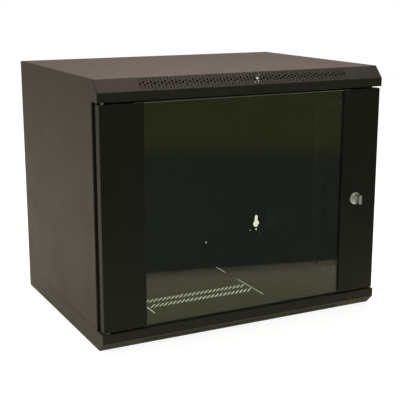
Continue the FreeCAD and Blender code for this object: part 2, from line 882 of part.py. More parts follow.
# ---- lock --------------------------------------------------------------------------------------------
def lock_body():
    """Rosette in front of the strip and the flatted barrel behind it, bored for the spindle."""
    rim = front - mating_gap
    axis = V(lock_axis, rim, lock_height)
    rosette = polygon(axis, -BACKWARD, 24, rosette_radius, rosette_height)
    crown = [e for e in rosette.Edges if e.BoundBox.YMax < rim - rosette_chamfer]
    rosette = rosette.makeChamfer(rosette_chamfer, crown)
    barrel_length = cam_front - cam_gap - rim
    barrel = double_d(axis, barrel_radius, barrel_flats, barrel_length)
    body = fuse([rosette, barrel])
    start = axis - BACKWARD * (rosette_height + TINY)
    return cut(body, [bore(start, BACKWARD, spindle_radius, barrel_length + rosette_height + 2 * TINY)])


def lock_nut():
    start = V(lock_axis, strip_skin + mating_gap, lock_height)
    body = hexagon(start, BACKWARD, lock_nut_flats, lock_nut_height)
    radius, length = barrel_radius + barrel_play, lock_nut_height + 2 * TINY
    return cut(body, [facet_rod(start - BACKWARD * TINY, BACKWARD, radius, length, 16)])


def lock_wing():
    """Thumb turn cast in one with its spindle; the spindle's square end carries the cam."""
    face = front - mating_gap - rosette_height - stop_gap
    axis = V(lock_axis, face, lock_height)
    half, reach = wing_height / 2, knob_height + wing_reach
    outline = [(0.0, 0.0), (0.0, half), (-reach, half), (-reach, -half), (0.0, -half)]
    blade = plate(
        [(face + y, lock_height + z) for y, z in outline],
        [wing_corner / 2, wing_corner, wing_corner],
        lock_axis - wing_thickness / 2,
        wing_thickness,
    )
    knob = facet_rod(axis, -BACKWARD, knob_radius, knob_height, 16)
    spindle = polygon(axis, BACKWARD, 12, spindle_radius, cam_front - mating_gap - face)
    half_square = cam_square / 2
    square = box(
        (lock_axis - half_square, lock_axis + half_square),
        (cam_front - mating_gap - sheet, cam_front + cam_sheet),
        (lock_height - half_square, lock_height + half_square),
    )
    spindle_end = polygon(axis, BACKWARD, 12, spindle_radius, cam_front + cam_sheet - face)
    bottom = V(lock_axis, cam_front + cam_sheet - cam_screw_reach, lock_height)
    thread = facet_rod(bottom, BACKWARD, cam_screw_radius + 2 * fit, cam_screw_reach + TINY)
    return cut(fuse([blade, knob, spindle, square.common(spindle_end)]), [thread])


def lock_cam():
    """Cam that hangs down from the spindle when the door is free and turns out to the frame."""
    half = cam_width / 2
    play = mating_gap / 2
    blade = box(
        (lock_axis - half, lock_axis + half),
        (cam_front, cam_front + cam_sheet),
        (lock_height - cam_length, lock_height),
    )
    head = rod(V(lock_axis, cam_front, lock_height), BACKWARD, half, cam_sheet)
    opening = box(
        (lock_axis - cam_square / 2 - play, lock_axis + cam_square / 2 + play),
        (cam_front - TINY, cam_front + cam_sheet + TINY),
        (lock_height - cam_square / 2 - play, lock_height + cam_square / 2 + play),
    )
    return cut(fuse([blade, head]), [opening])


def cam_screw():
    face = V(lock_axis, cam_front + cam_sheet + mating_gap, lock_height)
    head = facet_rod(face, BACKWARD, cam_screw_head_radius, cam_screw_head, 12)
    shank = polygon(face, -BACKWARD, 8, cam_screw_radius, cam_screw_reach - cam_screw_tip_gap)
    slot = box(
        (lock_axis - cam_screw_head_radius, lock_axis + cam_screw_head_radius),
        (face.y + cam_screw_head / 2, face.y + cam_screw_head + TINY),
        (lock_height - cam_screw_slot / 2, lock_height + cam_screw_slot / 2),
    )
    return cut(fuse([head, shank]), [slot])


# ---- rubber buffers and earth stud --------------------------------------------------------------------
def buffers():
    """Two buffers plugged into the right side panel's front fold, just clear of the closed door."""
    pieces = []
    for z in buffer_heights:
        face = V(buffer_x, side_front - mating_gap, z)
        pad = facet_rod(face, -BACKWARD, buffer_radius, face.y - stop_gap - door_back, 12)
        pieces.append(fuse([pad, facet_rod(face, BACKWARD, buffer_stem_radius, buffer_stem)]))
    return Part.makeCompound(pieces)


def earth_stud():
    foot = V(*earth_place, sheet + weld_gap)
    return fuse(
        [
            polygon(foot, UP, 8, 2 * bolt_radius, washer_height),
            polygon(foot, UP, 6, bolt_radius, earth_stud_height),
        ]
    )


def earth_nuts():
    """Washer and two nuts stacked on the earth stud."""
    level = sheet + weld_gap + washer_height + mating_gap
    pieces = []
    stack = [(washer_flats, washer_height)] + 2 * [(bolt_head_flats, nut_height)]
    for flats, thick in stack:
        start = V(*earth_place, level)
        thread = polygon(start - UP * TINY, UP, 6, bolt_hole_radius, thick + 2 * TINY)
        pieces.append(cut(hexagon(start, UP, flats, thick), [thread]))
        level += thick + mating_gap
    return Part.makeCompound(pieces)


nodes = {
    "roof_cover": roof_cover(),
    "base_pan": base_pan(),
    "side_panel_right": lock_side_panel(),
    "side_panel_left": mirror(side_panel()),
    "back_panel": back_panel(),
    "door_strip_right": lock_strip(),
    "door_strip_left": hinge_strip(),
    "door_glass": door_glass(),
    "hinge_pin_lower": lower_pin(),
    "hinge_washer": hinge_washer(),
    "hinge_plunger": plunger(),
    "plunger_guide": plunger_guide(),
    "plunger_spring": plunger_spring(),
    "lock_body": lock_body(),
    "lock_nut": lock_nut(),
    "lock_wing": lock_wing(),
    "lock_cam": lock_cam(),
    "cam_screw": cam_screw(),
    "lock_side_clamp": lock_clamp(),
    "hinge_side_clamp": mirror(glass_clamp()),
    "door_buffers": buffers(),
    "earth_stud": earth_stud(),
    "earth_nuts": earth_nuts(),
}
pairs = {
    "rail": rail(),
    "bar_lower": depth_bar(bar_rows[0]),
    "bar_upper": depth_bar(bar_rows[1]),
    "standoffs": standoffs(),
    "bar_bolts": bar_bolts(),
    "rail_bolts": rail_bolts(),
    "rail_nuts": rail_nuts(),
    "glass_tape": glass_tape(),
    "clamp_gasket": clamp_gasket(),
    "clamp_nuts": clamp_nuts(),
}
for name, shape in pairs.items():
    nodes[name + "_right"] = shape
    nodes[name + "_left"] = mirror(shape)

for name, shape in nodes.items():
    shape.exportStep(f"parts/{name}.step")
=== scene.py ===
import json
from math import cos, hypot, pi, radians, sin, tan

import bmesh
import bpy
from mathutils import Matrix, Vector


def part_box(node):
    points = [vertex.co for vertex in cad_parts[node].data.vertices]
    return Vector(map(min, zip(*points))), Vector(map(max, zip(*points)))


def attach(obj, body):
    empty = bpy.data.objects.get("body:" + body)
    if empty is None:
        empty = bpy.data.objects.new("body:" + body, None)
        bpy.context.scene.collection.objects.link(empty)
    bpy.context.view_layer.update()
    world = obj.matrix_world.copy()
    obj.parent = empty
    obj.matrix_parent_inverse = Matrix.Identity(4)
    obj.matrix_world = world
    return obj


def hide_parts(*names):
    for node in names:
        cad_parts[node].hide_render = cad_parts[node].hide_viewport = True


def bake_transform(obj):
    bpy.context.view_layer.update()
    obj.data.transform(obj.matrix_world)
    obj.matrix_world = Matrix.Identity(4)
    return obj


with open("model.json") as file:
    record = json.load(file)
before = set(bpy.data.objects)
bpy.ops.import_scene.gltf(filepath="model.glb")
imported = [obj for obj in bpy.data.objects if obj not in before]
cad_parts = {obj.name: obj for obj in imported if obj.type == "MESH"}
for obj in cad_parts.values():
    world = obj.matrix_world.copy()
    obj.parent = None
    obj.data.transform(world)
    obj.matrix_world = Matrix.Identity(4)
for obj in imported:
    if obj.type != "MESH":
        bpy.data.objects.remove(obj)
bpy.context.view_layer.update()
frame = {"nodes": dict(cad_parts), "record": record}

bl_info = {
    "name": "Wall Mount Network Cabinet",
    "version": (1, 0, 0),
    "blender": (4, 5, 0),
    "location": "View3D > Sidebar > Cabinet",
    "description": "Models a 19 inch wall cabinet of folded sheet steel with a hinged glass door",
    "category": "Add Mesh",
}

# The cabinet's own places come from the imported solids, so each piece fits the solid it stands for.
MM = 0.001
roof_low, roof_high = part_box("roof_cover")
base_low, base_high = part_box("base_pan")
panel_low, panel_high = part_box("side_panel_right")
strip_low, strip_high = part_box("door_strip_right")
glass_low, glass_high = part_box("door_glass")
back_low, back_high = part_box("back_panel")
rosette_low, rosette_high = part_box("lock_body")
wing_low, wing_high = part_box("lock_wing")
cam_low, cam_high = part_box("lock_cam")
rail_low, rail_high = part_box("rail_right")
bar_low, bar_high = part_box("bar_lower_right")
upper_low, upper_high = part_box("bar_upper_right")
feet_low, feet_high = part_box("standoffs_right")
clamp_low, clamp_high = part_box("lock_side_clamp")
pin_low, pin_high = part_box("hinge_pin_lower")
plunger_low, plunger_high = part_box("hinge_plunger")
spring_low, spring_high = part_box("plunger_spring")
buffer_low, buffer_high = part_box("door_buffers")
slots = {part["node"]: part["material_slot"] for part in frame["record"]["subparts"]}
pivot = (pin_low + pin_high) / 2
pivot.z = 0

LEFT, RIGHT = Vector((-1, 0, 0)), Vector((1, 0, 0))
FORWARD, BACKWARD = Vector((0, -1, 0)), Vector((0, 1, 0))
UP = Vector((0, 0, 1))


def linear(code):
    """Linear colour, with alpha, of an sRGB hex code."""
    parts = [int(code[i : i + 2], 16) / 255 for i in (0, 2, 4)]
    return [c / 12.92 if c <= 0.04045 else ((c + 0.055) / 1.055) ** 2.4 for c in parts] + [1.0]


def length_property(name, description, millimetres):
    return bpy.props.FloatProperty(
        name=name, description=description, default=millimetres * MM, unit="LENGTH", precision=5
    )


def colour_property(name, description, code):
    return bpy.props.FloatVectorProperty(
        name=name, description=description, default=linear(code), size=4, subtype="COLOR", min=0.0, max=1.0
    )


class CabinetSheet(bpy.types.PropertyGroup):
    """Sizes of the folded steel sheets"""

    thickness: length_property("Thickness", "Painted steel of the body and the door", 1.2)
    fold_radius: length_property("Fold radius", "Inside radius of each fold", 1.0)
    rim: length_property("Rim", "Softened edge of the cut sheet", 0.2)
    roof_chamfer_height: length_property("Roof chamfer height", "Upright size of the roof's slope", 22.7)
    roof_chamfer_depth: length_property("Roof chamfer depth", "Level size of the roof's slope", 20.6)
    base_chamfer_height: length_property("Base chamfer height", "Upright size of the base's slope", 18.2)
    base_chamfer_depth: length_property("Base chamfer depth", "Level size of the base's slope", 17.9)
    lip_return: length_property("Lip return", "How far the roof's and the base's lips fold back", 28.0)
    base_lip: length_property("Base lip", "Upright strip below the door", 17.1)
    flange: length_property("Flange", "Width of a plain stiffening fold", 14.0)
    seam: length_property("Seam", "Open seam between neighbouring panels", 0.5)
    weld_gap: length_property("Weld gap", "Between sheets that lie flat on each other", 0.1)
    hem: length_property("Hem", "Fold of a door strip beside the glass", 3.2)
    corner: length_property("Corner", "Rounding of the door strips' ends", 1.2)


class CabinetPerforation(bpy.types.PropertyGroup):
    """Sizes of the graduated perforation in the two slopes"""

    pitch: length_property("Pitch", "Distance between the columns of holes", 6.94)
    columns: bpy.props.IntProperty(name="Columns", description="Number of columns", default=63, min=1)
    large: length_property("Large hole", "Diameter in the middle of the even columns", 4.9)
    medium: length_property("Medium hole", "Diameter of the pair in the odd columns", 4.4)
    small: length_property("Small hole", "Diameter of the outer holes", 2.6)


class CabinetFloor(bpy.types.PropertyGroup):
    """Sizes and places of the cuts in the base pan's floor"""

    knockout_width: length_property("Knock-out width", "Across both knock-outs", 261.0)
    slit: length_property("Slit", "Width of the slits at a knock-out's sides", 3.5)
    long_slit: length_property("Long slit", "Width of the slits before and behind it", 2.1)
    tie: length_property("Tie", "Steel left between two slits of a long edge", 40.0)
    fan_front: length_property("Fan front", "Front edge of the fan knock-out", -77.4)
    fan_back: length_property("Fan back", "Back edge of the fan knock-out", 56.0)
    cable_front: length_property("Cable front", "Front edge of the cable knock-out", 96.0)
    cable_back: length_property("Cable back", "Back edge of the cable knock-out", 160.0)
    vent_count: bpy.props.IntProperty(name="Vents", description="Slots in each row", default=24, min=1)
    vent_pitch: length_property("Vent pitch", "Distance between neighbouring slots", 10.0)
    vent_front: length_property("Vent front", "Middle of the front row", -29.0)
    vent_spacing: length_property("Vent spacing", "Distance between the two rows", 31.0)
    vent_length: length_property("Vent length", "Length of a slot", 26.0)
    vent_width: length_property("Vent width", "Width of a slot", 3.3)
    tie_hole: length_property("Tie hole", "Diameter of the twin holes beside a wall", 3.5)
    tie_pitch: length_property("Tie pitch", "Distance between the twin holes", 6.2)
    tie_inset: length_property("Tie inset", "From the cabinet's side to the twin holes", 30.0)
    tie_row: length_property("Tie row", "Place of the twin holes in the depth", -42.7)
    vent_slant: bpy.props.FloatProperty(
        name="Vent slant", description="Lean of a slot to the right", default=radians(45), subtype="ANGLE"
    )


class CabinetWallHoles(bpy.types.PropertyGroup):
    """Sizes and places of the keyholes and fixing holes in the back panel"""

    half_span: length_property("Half span", "From the middle of the cabinet to the keyholes", 280.0)
    lower: length_property("Lower", "Height of the lower keyholes' entries", 72.0)
    spacing: length_property("Spacing", "From the lower keyholes to the upper ones", 350.0)
    entry: length_property("Entry", "Diameter of the round entry", 17.0)
    slot: length_property("Slot", "Width of the slot", 9.0)
    rise: length_property("Rise", "From the entry's middle to the slot's top", 22.0)
    fixing: length_property("Fixing hole", "Diameter of the hole below", 4.6)
    fixing_drop: length_property("Fixing drop", "From the entry down to the fixing hole", 14.4)
    pilot: length_property("Pilot hole", "Diameter of the hole beside the entry", 2.8)
    pilot_in: length_property("Pilot inwards", "From the entry inwards to the pilot hole", 17.0)
    pilot_drop: length_property("Pilot drop", "From the entry down to the pilot hole", 15.0)
    low_hole: length_property("Low hole", "Diameter of the two low holes", 3.4)
    low_across: length_property("Low hole across", "From the middle to a low hole", 140.0)
    low_height: length_property("Low hole height", "From the floor to a low hole", 41.0)


class CabinetFittings(bpy.types.PropertyGroup):
    """Sizes of the rails, bars, screws and small pieces"""

    thickness: length_property("Thickness", "Steel of the rails, bars and feet", 1.5)
    unit: length_property("Unit", "Height of one rack unit", 44.45)
    units: bpy.props.IntProperty(name="Units", description="Number of rack units", default=9, min=1)
    hole: length_property("Square hole", "Side of the rail's square holes", 9.5)
    half_span: length_property("Hole half span", "From the middle to the square holes", 232.55)
    lip: length_property("Rail lip", "How far the rail's inner edge folds back", 8.0)
    bar_slot_front: length_property("Slot front", "From the bar's front end to its slots", 40.0)
    bar_slot_back: length_property("Slot back", "From the bar's slots to its back end", 55.0)
    bar_tie: length_property("Slot tie", "Steel between the bar's two slots", 20.0)
    bolt_inset: length_property("Bolt inset", "From the bar's ends to its bolts", 17.0)
    bolt: length_property("Bolt", "Radius of the bolts' thread", 3.0)
    bolt_flats: length_property("Bolt flats", "Across the flats of a bolt head or nut", 10.0)
    bolt_head: length_property("Bolt head", "Height of a bolt head", 4.0)
    bolt_length: length_property("Bolt length", "From the head's face to the tip", 11.0)
    nut: length_property("Nut", "Height of a nut", 5.0)
    pitch: length_property("Pitch", "Distance between two ridges of a thread", 1.0)
    stud: length_property("Stud", "Radius of the clamp studs", 2.5)
    stud_length: length_property("Stud length", "From the strip to the stud's tip", 8.4)
    stud_nut_flats: length_property("Stud nut flats", "Across the flats of a clamp nut", 8.0)
    pin: length_property("Pin", "Radius of the hinge pins", 3.0)
    play: length_property("Play", "Distance between pieces that are screwed together", 0.1)
    bolt_play: length_property("Bolt play", "Around a bolt in its hole", 0.3)
    running: length_property("Running play", "Around a hinge pin in the piece that turns on it", 0.05)
    rim: length_property("Rim", "Softened edge of the rails, bars and feet", 0.15)
    foot_height: length_property("Foot height", "Upright size of a foot", 30.0)
    foot_face: length_property("Foot face", "Length of the foot's face on the bar", 32.0)
    foot_sole: length_property("Foot sole", "Length of the foot's face on the wall", 18.0)
    stud_offset: length_property("Stud offset", "From the pane's edge to the studs", 12.3)
    stud_inset: length_property("Stud inset", "From a clamp's ends to its outer studs", 30.0)
    stud_middle: length_property("Middle stud", "Above the door's middle, clear of the lock", 50.0)


class CabinetLock(bpy.types.PropertyGroup):
    """Sizes of the lock"""

    barrel: length_property("Barrel", "Radius of the barrel behind the door", 9.0)
    flat: length_property("Flat", "From the axis to the barrel's two flats", 8.0)
    play: length_property("Play", "Around the barrel in the door and the nut", 0.2)
    bore: length_property("Bore", "Radius of the bore for the spindle", 4.6)
    spindle: length_property("Spindle", "Radius of the spindle", 4.45)
    nut_flats: length_property("Nut flats", "Across the flats of the nut", 24.0)
    nut: length_property("Nut", "Height of the nut", 4.0)
    wing: length_property("Wing", "Thickness of the thumb wing", 6.0)
    wing_edge: length_property("Wing edge", "Rounding of the thumb wing", 1.3)
    square: length_property("Square", "Side of the spindle's square end", 6.8)
    cam_square: length_property("Cam square", "Side of the cam's square hole", 7.1)
    cam_corner: length_property("Cam corner", "Rounding of the cam's free end", 3.0)
    screw_head: length_property("Screw head", "Radius of the cam screw's head", 4.2)
    screw_slot: length_property("Screw slot", "Width of the cam screw's slot", 1.0)


class CabinetColours(bpy.types.PropertyGroup):
    """Colours of the finishes"""

    body: colour_property("Body", "Powder coat of the roof, base, sides and back", "413F3B")
    # The door strips have the body's black paint; their colour is set darker than the body's as painted
    # shade, since their fronts face the dim room.
    door: colour_property("Door", "Powder coat of the door strips", "2B2D28")
    # The rails' and bars' colour is set lighter than the body's as painted light, so that they show in the
    # dim inside.
    inside: colour_property("Inside", "Powder coat of the rails and bars", "4C4A45")
    glass: colour_property("Glass", "What the pane lets through", "C9D2BE")
    zinc: colour_property("Zinc", "Plated screws, springs and clamps", "B2B1AB")
    chrome: colour_property("Chrome", "Plated lock", "DDE1EC")
    rubber: colour_property("Rubber", "Tapes, gaskets and buffers", "171717")
    nylon: colour_property("Nylon", "Hinge washer", "DAD8D0")
    brass: colour_property("Brass", "Earth stud and nuts", "D2B46B")


# ---- materials ---------------------------------------------------------------------------------
def add_node(tree, kind, inputs=None, **settings):
    """Adds a node with its settings; each input takes a value or the socket that feeds it."""
    made = tree.nodes.new(kind)
    for name, value in settings.items():
        setattr(made, name, value)
    for name, value in (inputs or {}).items():
        if isinstance(value, bpy.types.NodeSocket):
            tree.links.new(value, made.inputs[name])
        else:
            made.inputs[name].default_value = value
    return made


def noise(tree, place, size, detail=3.0, roughness=0.5):
    """Soft random pattern whose patches are about as large as the size."""
    inputs = {"Vector": place, "Scale": 1 / size, "Detail": detail, "Roughness": roughness}
    return add_node(tree, "ShaderNodeTexNoise", inputs).outputs["Fac"]


def ramp(tree, value, start, end, low=0.0, high=1.0, interpolation="LINEAR"):
    """Carries a value that runs from start to end over to the range from low to high."""
    inputs = {"Value": value, "From Min": start, "From Max": end, "To Min": low, "To Max": high}
    node = add_node(tree, "ShaderNodeMapRange", inputs, interpolation_type=interpolation)
    return node.outputs["Result"]


def mix(tree, factor, first, second, mode="MIX"):
    """Mixes two colours by a factor."""
    inputs = {0: factor, 6: first, 7: second}
    return add_node(tree, "ShaderNodeMix", inputs, data_type="RGBA", blend_type=mode).outputs[2]


def maths(tree, operation, *values, **settings):
    node = add_node(tree, "ShaderNodeMath", dict(enumerate(values)), operation=operation, **settings)
    return node.outputs[0]


def bumps(tree, height, strength, distance):
    inputs = {"Height": height, "Strength": strength, "Distance": distance}
    return add_node(tree, "ShaderNodeBump", inputs).outputs["Normal"]


def new_material(name):
    """Empty material, its node tree and the place on the object that its patterns follow."""
    material = bpy.data.materials.new(name)
    material.use_nodes = True
    tree = material.node_tree
    tree.nodes.clear()
    return material, tree, add_node(tree, "ShaderNodeTexCoord").outputs["Object"]


def surfaced(material, shader):
    """The material with a shader as its surface."""
    add_node(material.node_tree, "ShaderNodeOutputMaterial", {"Surface": shader.outputs[0]})
    return material


def shades(colour, share):
    """A colour made darker and lighter by a share, for the two ends of a pattern."""
    return [[channel * factor for channel in colour[:3]] + [1.0] for factor in (1 - share, 1 + share)]


def powder_coat(name, colour, roughness, gloss):
    """Textured polyester powder coat: a fine pebbled skin that breaks highlights into a satin
    haze, with the faint clouds that the cured layer's thickness and handling leave."""
    material, tree, place = new_material(name)
    # The real pebble is 0.3 mm across; it is drawn at 1.4 mm so that it shows.
    pebble = noise(tree, place, 1.4 * MM, 2.0, 0.6)
    cloud = noise(tree, place, 55 * MM, 4.0, 0.62)
    tone = mix(tree, cloud, *shades(colour, 0.22))
    speck = ramp(tree, pebble, 0.3, 0.7, 0.86, 1.12)
    inputs = {
        "Base Color": mix(tree, 1.0, tone, speck, "MULTIPLY"),
        "Roughness": ramp(tree, cloud, 0.3, 0.7, roughness - 0.05, roughness + 0.05),
        "Normal": bumps(tree, pebble, 0.35, 0.06 * MM),
        "Specular IOR Level": gloss,
    }
    return surfaced(material, add_node(tree, "ShaderNodeBsdfPrincipled", inputs))


def plated_steel(name, colour, roughness):
    """Bright zinc plate over rolled or turned steel: soft grey shine, clouded by passivation, with
    fine lines from the tool."""
    material, tree, place = new_material(name)
    cloud = noise(tree, place, 4 * MM)
    lines = noise(tree, place, 0.5 * MM, 2.0, 0.7)
    inputs = {
        "Base Color": mix(tree, cloud, *shades(colour, 0.12)),
        "Metallic": 1.0,
        "Roughness": ramp(tree, cloud, 0.3, 0.7, roughness - 0.08, roughness + 0.08),
        "Normal": bumps(tree, lines, 0.15, 0.03 * MM),
    }
    return surfaced(material, add_node(tree, "ShaderNodeBsdfPrincipled", inputs))


def moulded(name, colour, roughness, grain):
    """Moulded rubber or nylon: a matt skin with the fine grain that the mould leaves."""
    material, tree, place = new_material(name)
    skin = noise(tree, place, grain)
    inputs = {
        "Base Color": mix(tree, skin, *shades(colour, 0.15)),
        "Roughness": roughness,
        "Normal": bumps(tree, skin, 0.3, 0.05 * MM),
    }
    return surfaced(material, add_node(tree, "ShaderNodeBsdfPrincipled", inputs))


def float_glass(name, colour):
    """Toughened float glass: clear with a slight green cast, and flat enough to mirror the room.
    Lamps reach what is behind it through the Transparent shader."""
    material, tree, place = new_material(name)
    # Handling leaves a film in patches about 40 mm across, which blurs what the pane mirrors there.
    film = noise(tree, place, 40 * MM, 3.0, 0.6)
    inputs = {
        "Base Color": colour,
        "Roughness": ramp(tree, film, 0.45, 0.8, 0.0, 0.03),
        "IOR": 1.5,
        "Transmission Weight": 1.0,
    }
    pane = add_node(tree, "ShaderNodeBsdfPrincipled", inputs).outputs["BSDF"]
    clear = add_node(tree, "ShaderNodeBsdfTransparent", {"Color": colour}).outputs["BSDF"]
    shadow = add_node(tree, "ShaderNodeLightPath").outputs["Is Shadow Ray"]
    return surfaced(material, add_node(tree, "ShaderNodeMixShader", {0: shadow, 1: pane, 2: clear}))


def ground_glass(name, colour):
    """Ground edge of toughened glass: the wheel leaves it white and matt, with fine scratches, so it
    catches the light as a thin pale line along the top of the pane."""
    material, tree, place = new_material(name)
    scratches = noise(tree, place, 0.8 * MM)
    inputs = {"Base Color": mix(tree, scratches, *shades(colour, 0.2)), "Roughness": 0.6}
    return surfaced(material, add_node(tree, "ShaderNodeBsdfPrincipled", inputs))


finishes = {}


def finish_materials(colours):
    """All finishes of the cabinet by the name of their slot in the record."""
    if finishes:
        return
    finishes.update({
        "body_powder_coat": powder_coat("powder coated body steel", colours.body, 0.5, 0.2),
        # The door's coat is darker than the body's: painted shade.
        "door_powder_coat": powder_coat("powder coated door steel", colours.door, 0.5, 0.2),
        # The rails' coat is lighter than the body's: painted light.
        "inner_powder_coat": powder_coat("powder coated rail steel", colours.inside, 0.5, 0.4),
        "tinted_glass": float_glass("toughened float glass", colours.glass),
        "ground_edge": ground_glass("ground glass edge", linear("D2D6C8")),
        "zinc_plate": plated_steel("zinc plated steel", colours.zinc, 0.36),
        "lock_chrome": plated_steel("chrome plated zinc casting", colours.chrome, 0.4),
        "black_rubber": moulded("moulded EPDM rubber", colours.rubber, 0.78, 0.8 * MM),
        "nylon": moulded("moulded nylon", colours.nylon, 0.5, 0.6 * MM),
        "earth_brass": plated_steel("turned brass", colours.brass, 0.32),
    })


def coat_node(node, slot):
    """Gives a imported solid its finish."""
    mesh = frame["nodes"][node].data
    mesh.materials.clear()
    mesh.materials.append(finishes[slot])


# ---- modelling by hand tools ---------------------------------------------------------------------
def deselect():
    if bpy.context.object and bpy.context.object.mode == "EDIT":
        bpy.ops.object.mode_set(mode="OBJECT")
    bpy.ops.object.select_all(action="DESELECT")


def pick(piece):
    deselect()
    piece.select_set(True)
    bpy.context.view_layer.objects.active = piece


def named(name, size=(1, 1, 1)):
    """Names the newest primitive, gives it its size and brings its place into its mesh."""
    piece = bpy.context.object
    piece.name = piece.data.name = name
    piece.scale = size
    bpy.ops.object.transform_apply(location=True, rotation=True, scale=True)
    return piece


def edit(piece, kind):
    """Opens a piece in edit mode with nothing selected."""
    pick(piece)
    bpy.ops.object.mode_set(mode="EDIT")
    bpy.ops.mesh.select_mode(type=kind)
    bpy.ops.mesh.select_all(action="DESELECT")
    return bmesh.from_edit_mesh(piece.data)


def select(piece, mesh, parts, test):
    """Selects the vertices, edges or faces that pass a test."""
    for part in parts:
        part.select_set(test(part))
    mesh.select_flush_mode()
    bmesh.update_edit_mesh(piece.data)


def outward():
    """Turns all faces of the open piece outwards and closes edit mode."""
    bpy.ops.mesh.select_all(action="SELECT")
    bpy.ops.mesh.normals_make_consistent(inside=False)
    bpy.ops.object.mode_set(mode="OBJECT")


def modify(piece, kind, **settings):
    """Adds a modifier and applies it."""
    pick(piece)
    modifier = piece.modifiers.new(kind.title(), kind)
    for name, value in settings.items():
        setattr(modifier, name, value)
    bpy.ops.object.modifier_apply(modifier=modifier.name)


def soften(piece, width, segments=2, angle=50):
    """Small bevel on every edge sharper than the angle."""
    modify(
        piece, "BEVEL", width=width, segments=segments, limit_method="ANGLE", angle_limit=radians(angle)
    )


def join(name, pieces):
    pick(pieces[0])
    for piece in pieces:
        piece.select_set(True)
    if len(pieces) > 1:
        bpy.ops.object.join()
    pieces[0].name = pieces[0].data.name = name
    return pieces[0]


def copy_of(piece, move):
    """Copy with its own mesh, moved by a vector."""
    pick(piece)
    bpy.ops.object.duplicate(linked=False)
    bpy.ops.transform.translate(value=move)
    bpy.ops.object.transform_apply(location=True, rotation=True, scale=True)
    return bpy.context.object


def mirrored(piece, name):
    """Copy of a piece on the other side of the cabinet."""
    pick(piece)
    bpy.ops.object.duplicate(linked=False)
    twin = bpy.context.object
    bpy.ops.transform.resize(value=(-1, 1, 1), center_override=(0, 0, 0))
    bpy.ops.object.transform_apply(location=True, rotation=True, scale=True)
    edit(twin, "FACE")
    outward()
    twin.name = twin.data.name = name
    return twin


def settle(piece, body, *nodes):
    """Finishes a piece: smooth folds, its material, the body it rides on and the solids it stands for."""
    slot = slots[nodes[0]]
    pick(piece)
    bpy.ops.object.shade_smooth_by_angle(angle=radians(32))
    modify(piece, "WEIGHTED_NORMAL", keep_sharp=True)
    piece.data.materials.clear()
    piece.data.materials.append(finishes[slot])
    if body:
        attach(piece, body)
    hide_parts(*nodes)


def block(name, low, high, rim=0.0):
    """Block between two corners."""
    low, high = Vector(low), Vector(high)
    deselect()
    bpy.ops.mesh.primitive_cube_add(size=1, location=(low + high) / 2)
    piece = named(name, high - low)
    if rim:
        soften(piece, rim)
    return piece


def folded_sheet(name, path, span, thickness, radius, rim, side=1):
    """Folded sheet: a plane over the path's first run, extruded from fold to fold, its folds rounded
    and then thickened. Side 1 puts the metal on the side that run x span points to, and -1 opposite."""
    path, span = [Vector(p) for p in path], Vector(span)
    run = path[1] - path[0]
    axes = Matrix((run.normalized(), span.normalized(), run.cross(span).normalized())).transposed()
    deselect()
    bpy.ops.mesh.primitive_plane_add(
        size=1, location=(path[0] + path[1] + span) / 2, rotation=axes.to_euler()
    )
    piece = named(name, (run.length, span.length, 1))

    def along(corner):
        """Test for an edge that lies on a fold's line."""

        def on_line(vertex):
            offset = vertex.co - corner
            return (offset - span * (offset.dot(span) / span.length_squared)).length < 1e-5

        return lambda edge: all(on_line(v) for v in edge.verts)

    mesh = edit(piece, "EDGE")
    select(piece, mesh, mesh.edges, along(path[1]))
    for start, end in zip(path[1:], path[2:]):
        bpy.ops.mesh.extrude_region_move(TRANSFORM_OT_translate={"value": end - start})
    for before, corner, after in zip(path, path[1:], path[2:]):
        a, b = corner - before, after - corner
        turn = a.angle(b)
        left = a.cross(b).dot(span) * side < 0
        bend = radius + (thickness if left else 0.0)
        mesh = edit(piece, "EDGE")
        select(piece, mesh, mesh.edges, along(corner))
        bpy.ops.mesh.bevel(offset=bend * tan(turn / 2), segments=4, affect="EDGES")
    bpy.ops.object.mode_set(mode="OBJECT")
    modify(piece, "SOLIDIFY", thickness=thickness, offset=side, use_even_offset=True)
    edit(piece, "FACE")
    outward()
    if rim:
        soften(piece, rim, 1)
    return piece


def rod(name, start, end, radius, sides=32):
    """Round bar between two points."""
    start, end = Vector(start), Vector(end)
    turn = (end - start).to_track_quat("Z", "Y").to_euler()
    deselect()
    bpy.ops.mesh.primitive_cylinder_add(
        vertices=sides, radius=radius, depth=(end - start).length, location=(start + end) / 2, rotation=turn
    )
    return named(name)


def bored(middle, reach, radius, sides=24):
    """Tool for a round hole that reaches as far to both sides of its middle."""
    middle = Vector(middle)
    return rod("hole", middle - reach, middle + reach, radius, sides)


def turned(name, foot, direction, profile, sides=48, turn=0.0):
    """Turned piece: a disc extruded and scaled through the profile's pairs of radius and height."""
    deselect()
    bpy.ops.mesh.primitive_circle_add(
        vertices=sides,
        radius=profile[0][0],
        fill_type="NGON",
        location=(0, 0, profile[0][1]),
        rotation=(0, 0, turn),
    )
    piece = named(name)
    edit(piece, "FACE")
    bpy.ops.mesh.select_all(action="SELECT")
    for (radius, height), (next_radius, next_height) in zip(profile, profile[1:]):
        bpy.ops.mesh.extrude_region_move(
            TRANSFORM_OT_translate={"value": (0, 0, next_height - height)}
        )
        scale = next_radius / radius
        bpy.ops.transform.resize(value=(scale, scale, 1), center_override=(0, 0, next_height))
    outward()
    piece.rotation_euler = Vector(direction).to_track_quat("Z", "Y").to_euler()
    piece.location = foot
    bpy.ops.object.transform_apply(location=True, rotation=True, scale=True)
    return piece


def hexagon(name, foot, direction, flats, height, ends=(True, True)):
    """Hexagon bar with the corners of its ends turned off; two of its corners point level or back."""
    corner = flats / 2 / cos(pi / 6)
    worn, slope = 0.93 * corner, 0.12 * height
    profile = [(worn, 0.0), (corner, slope)] if ends[0] else [(corner, 0.0)]
    profile += [(corner, height - slope), (worn, height)] if ends[1] else [(corner, height)]
    return turned(name, foot, direction, profile, 6, 0.0 if direction.z else pi / 6)


def nut(name, foot, direction, flats, height, bore):
    piece = hexagon(name, foot, direction, flats, height)
    punch(piece, rod("bore", foot - direction * MM, foot + direction * (height + MM), bore, 24))
    return piece


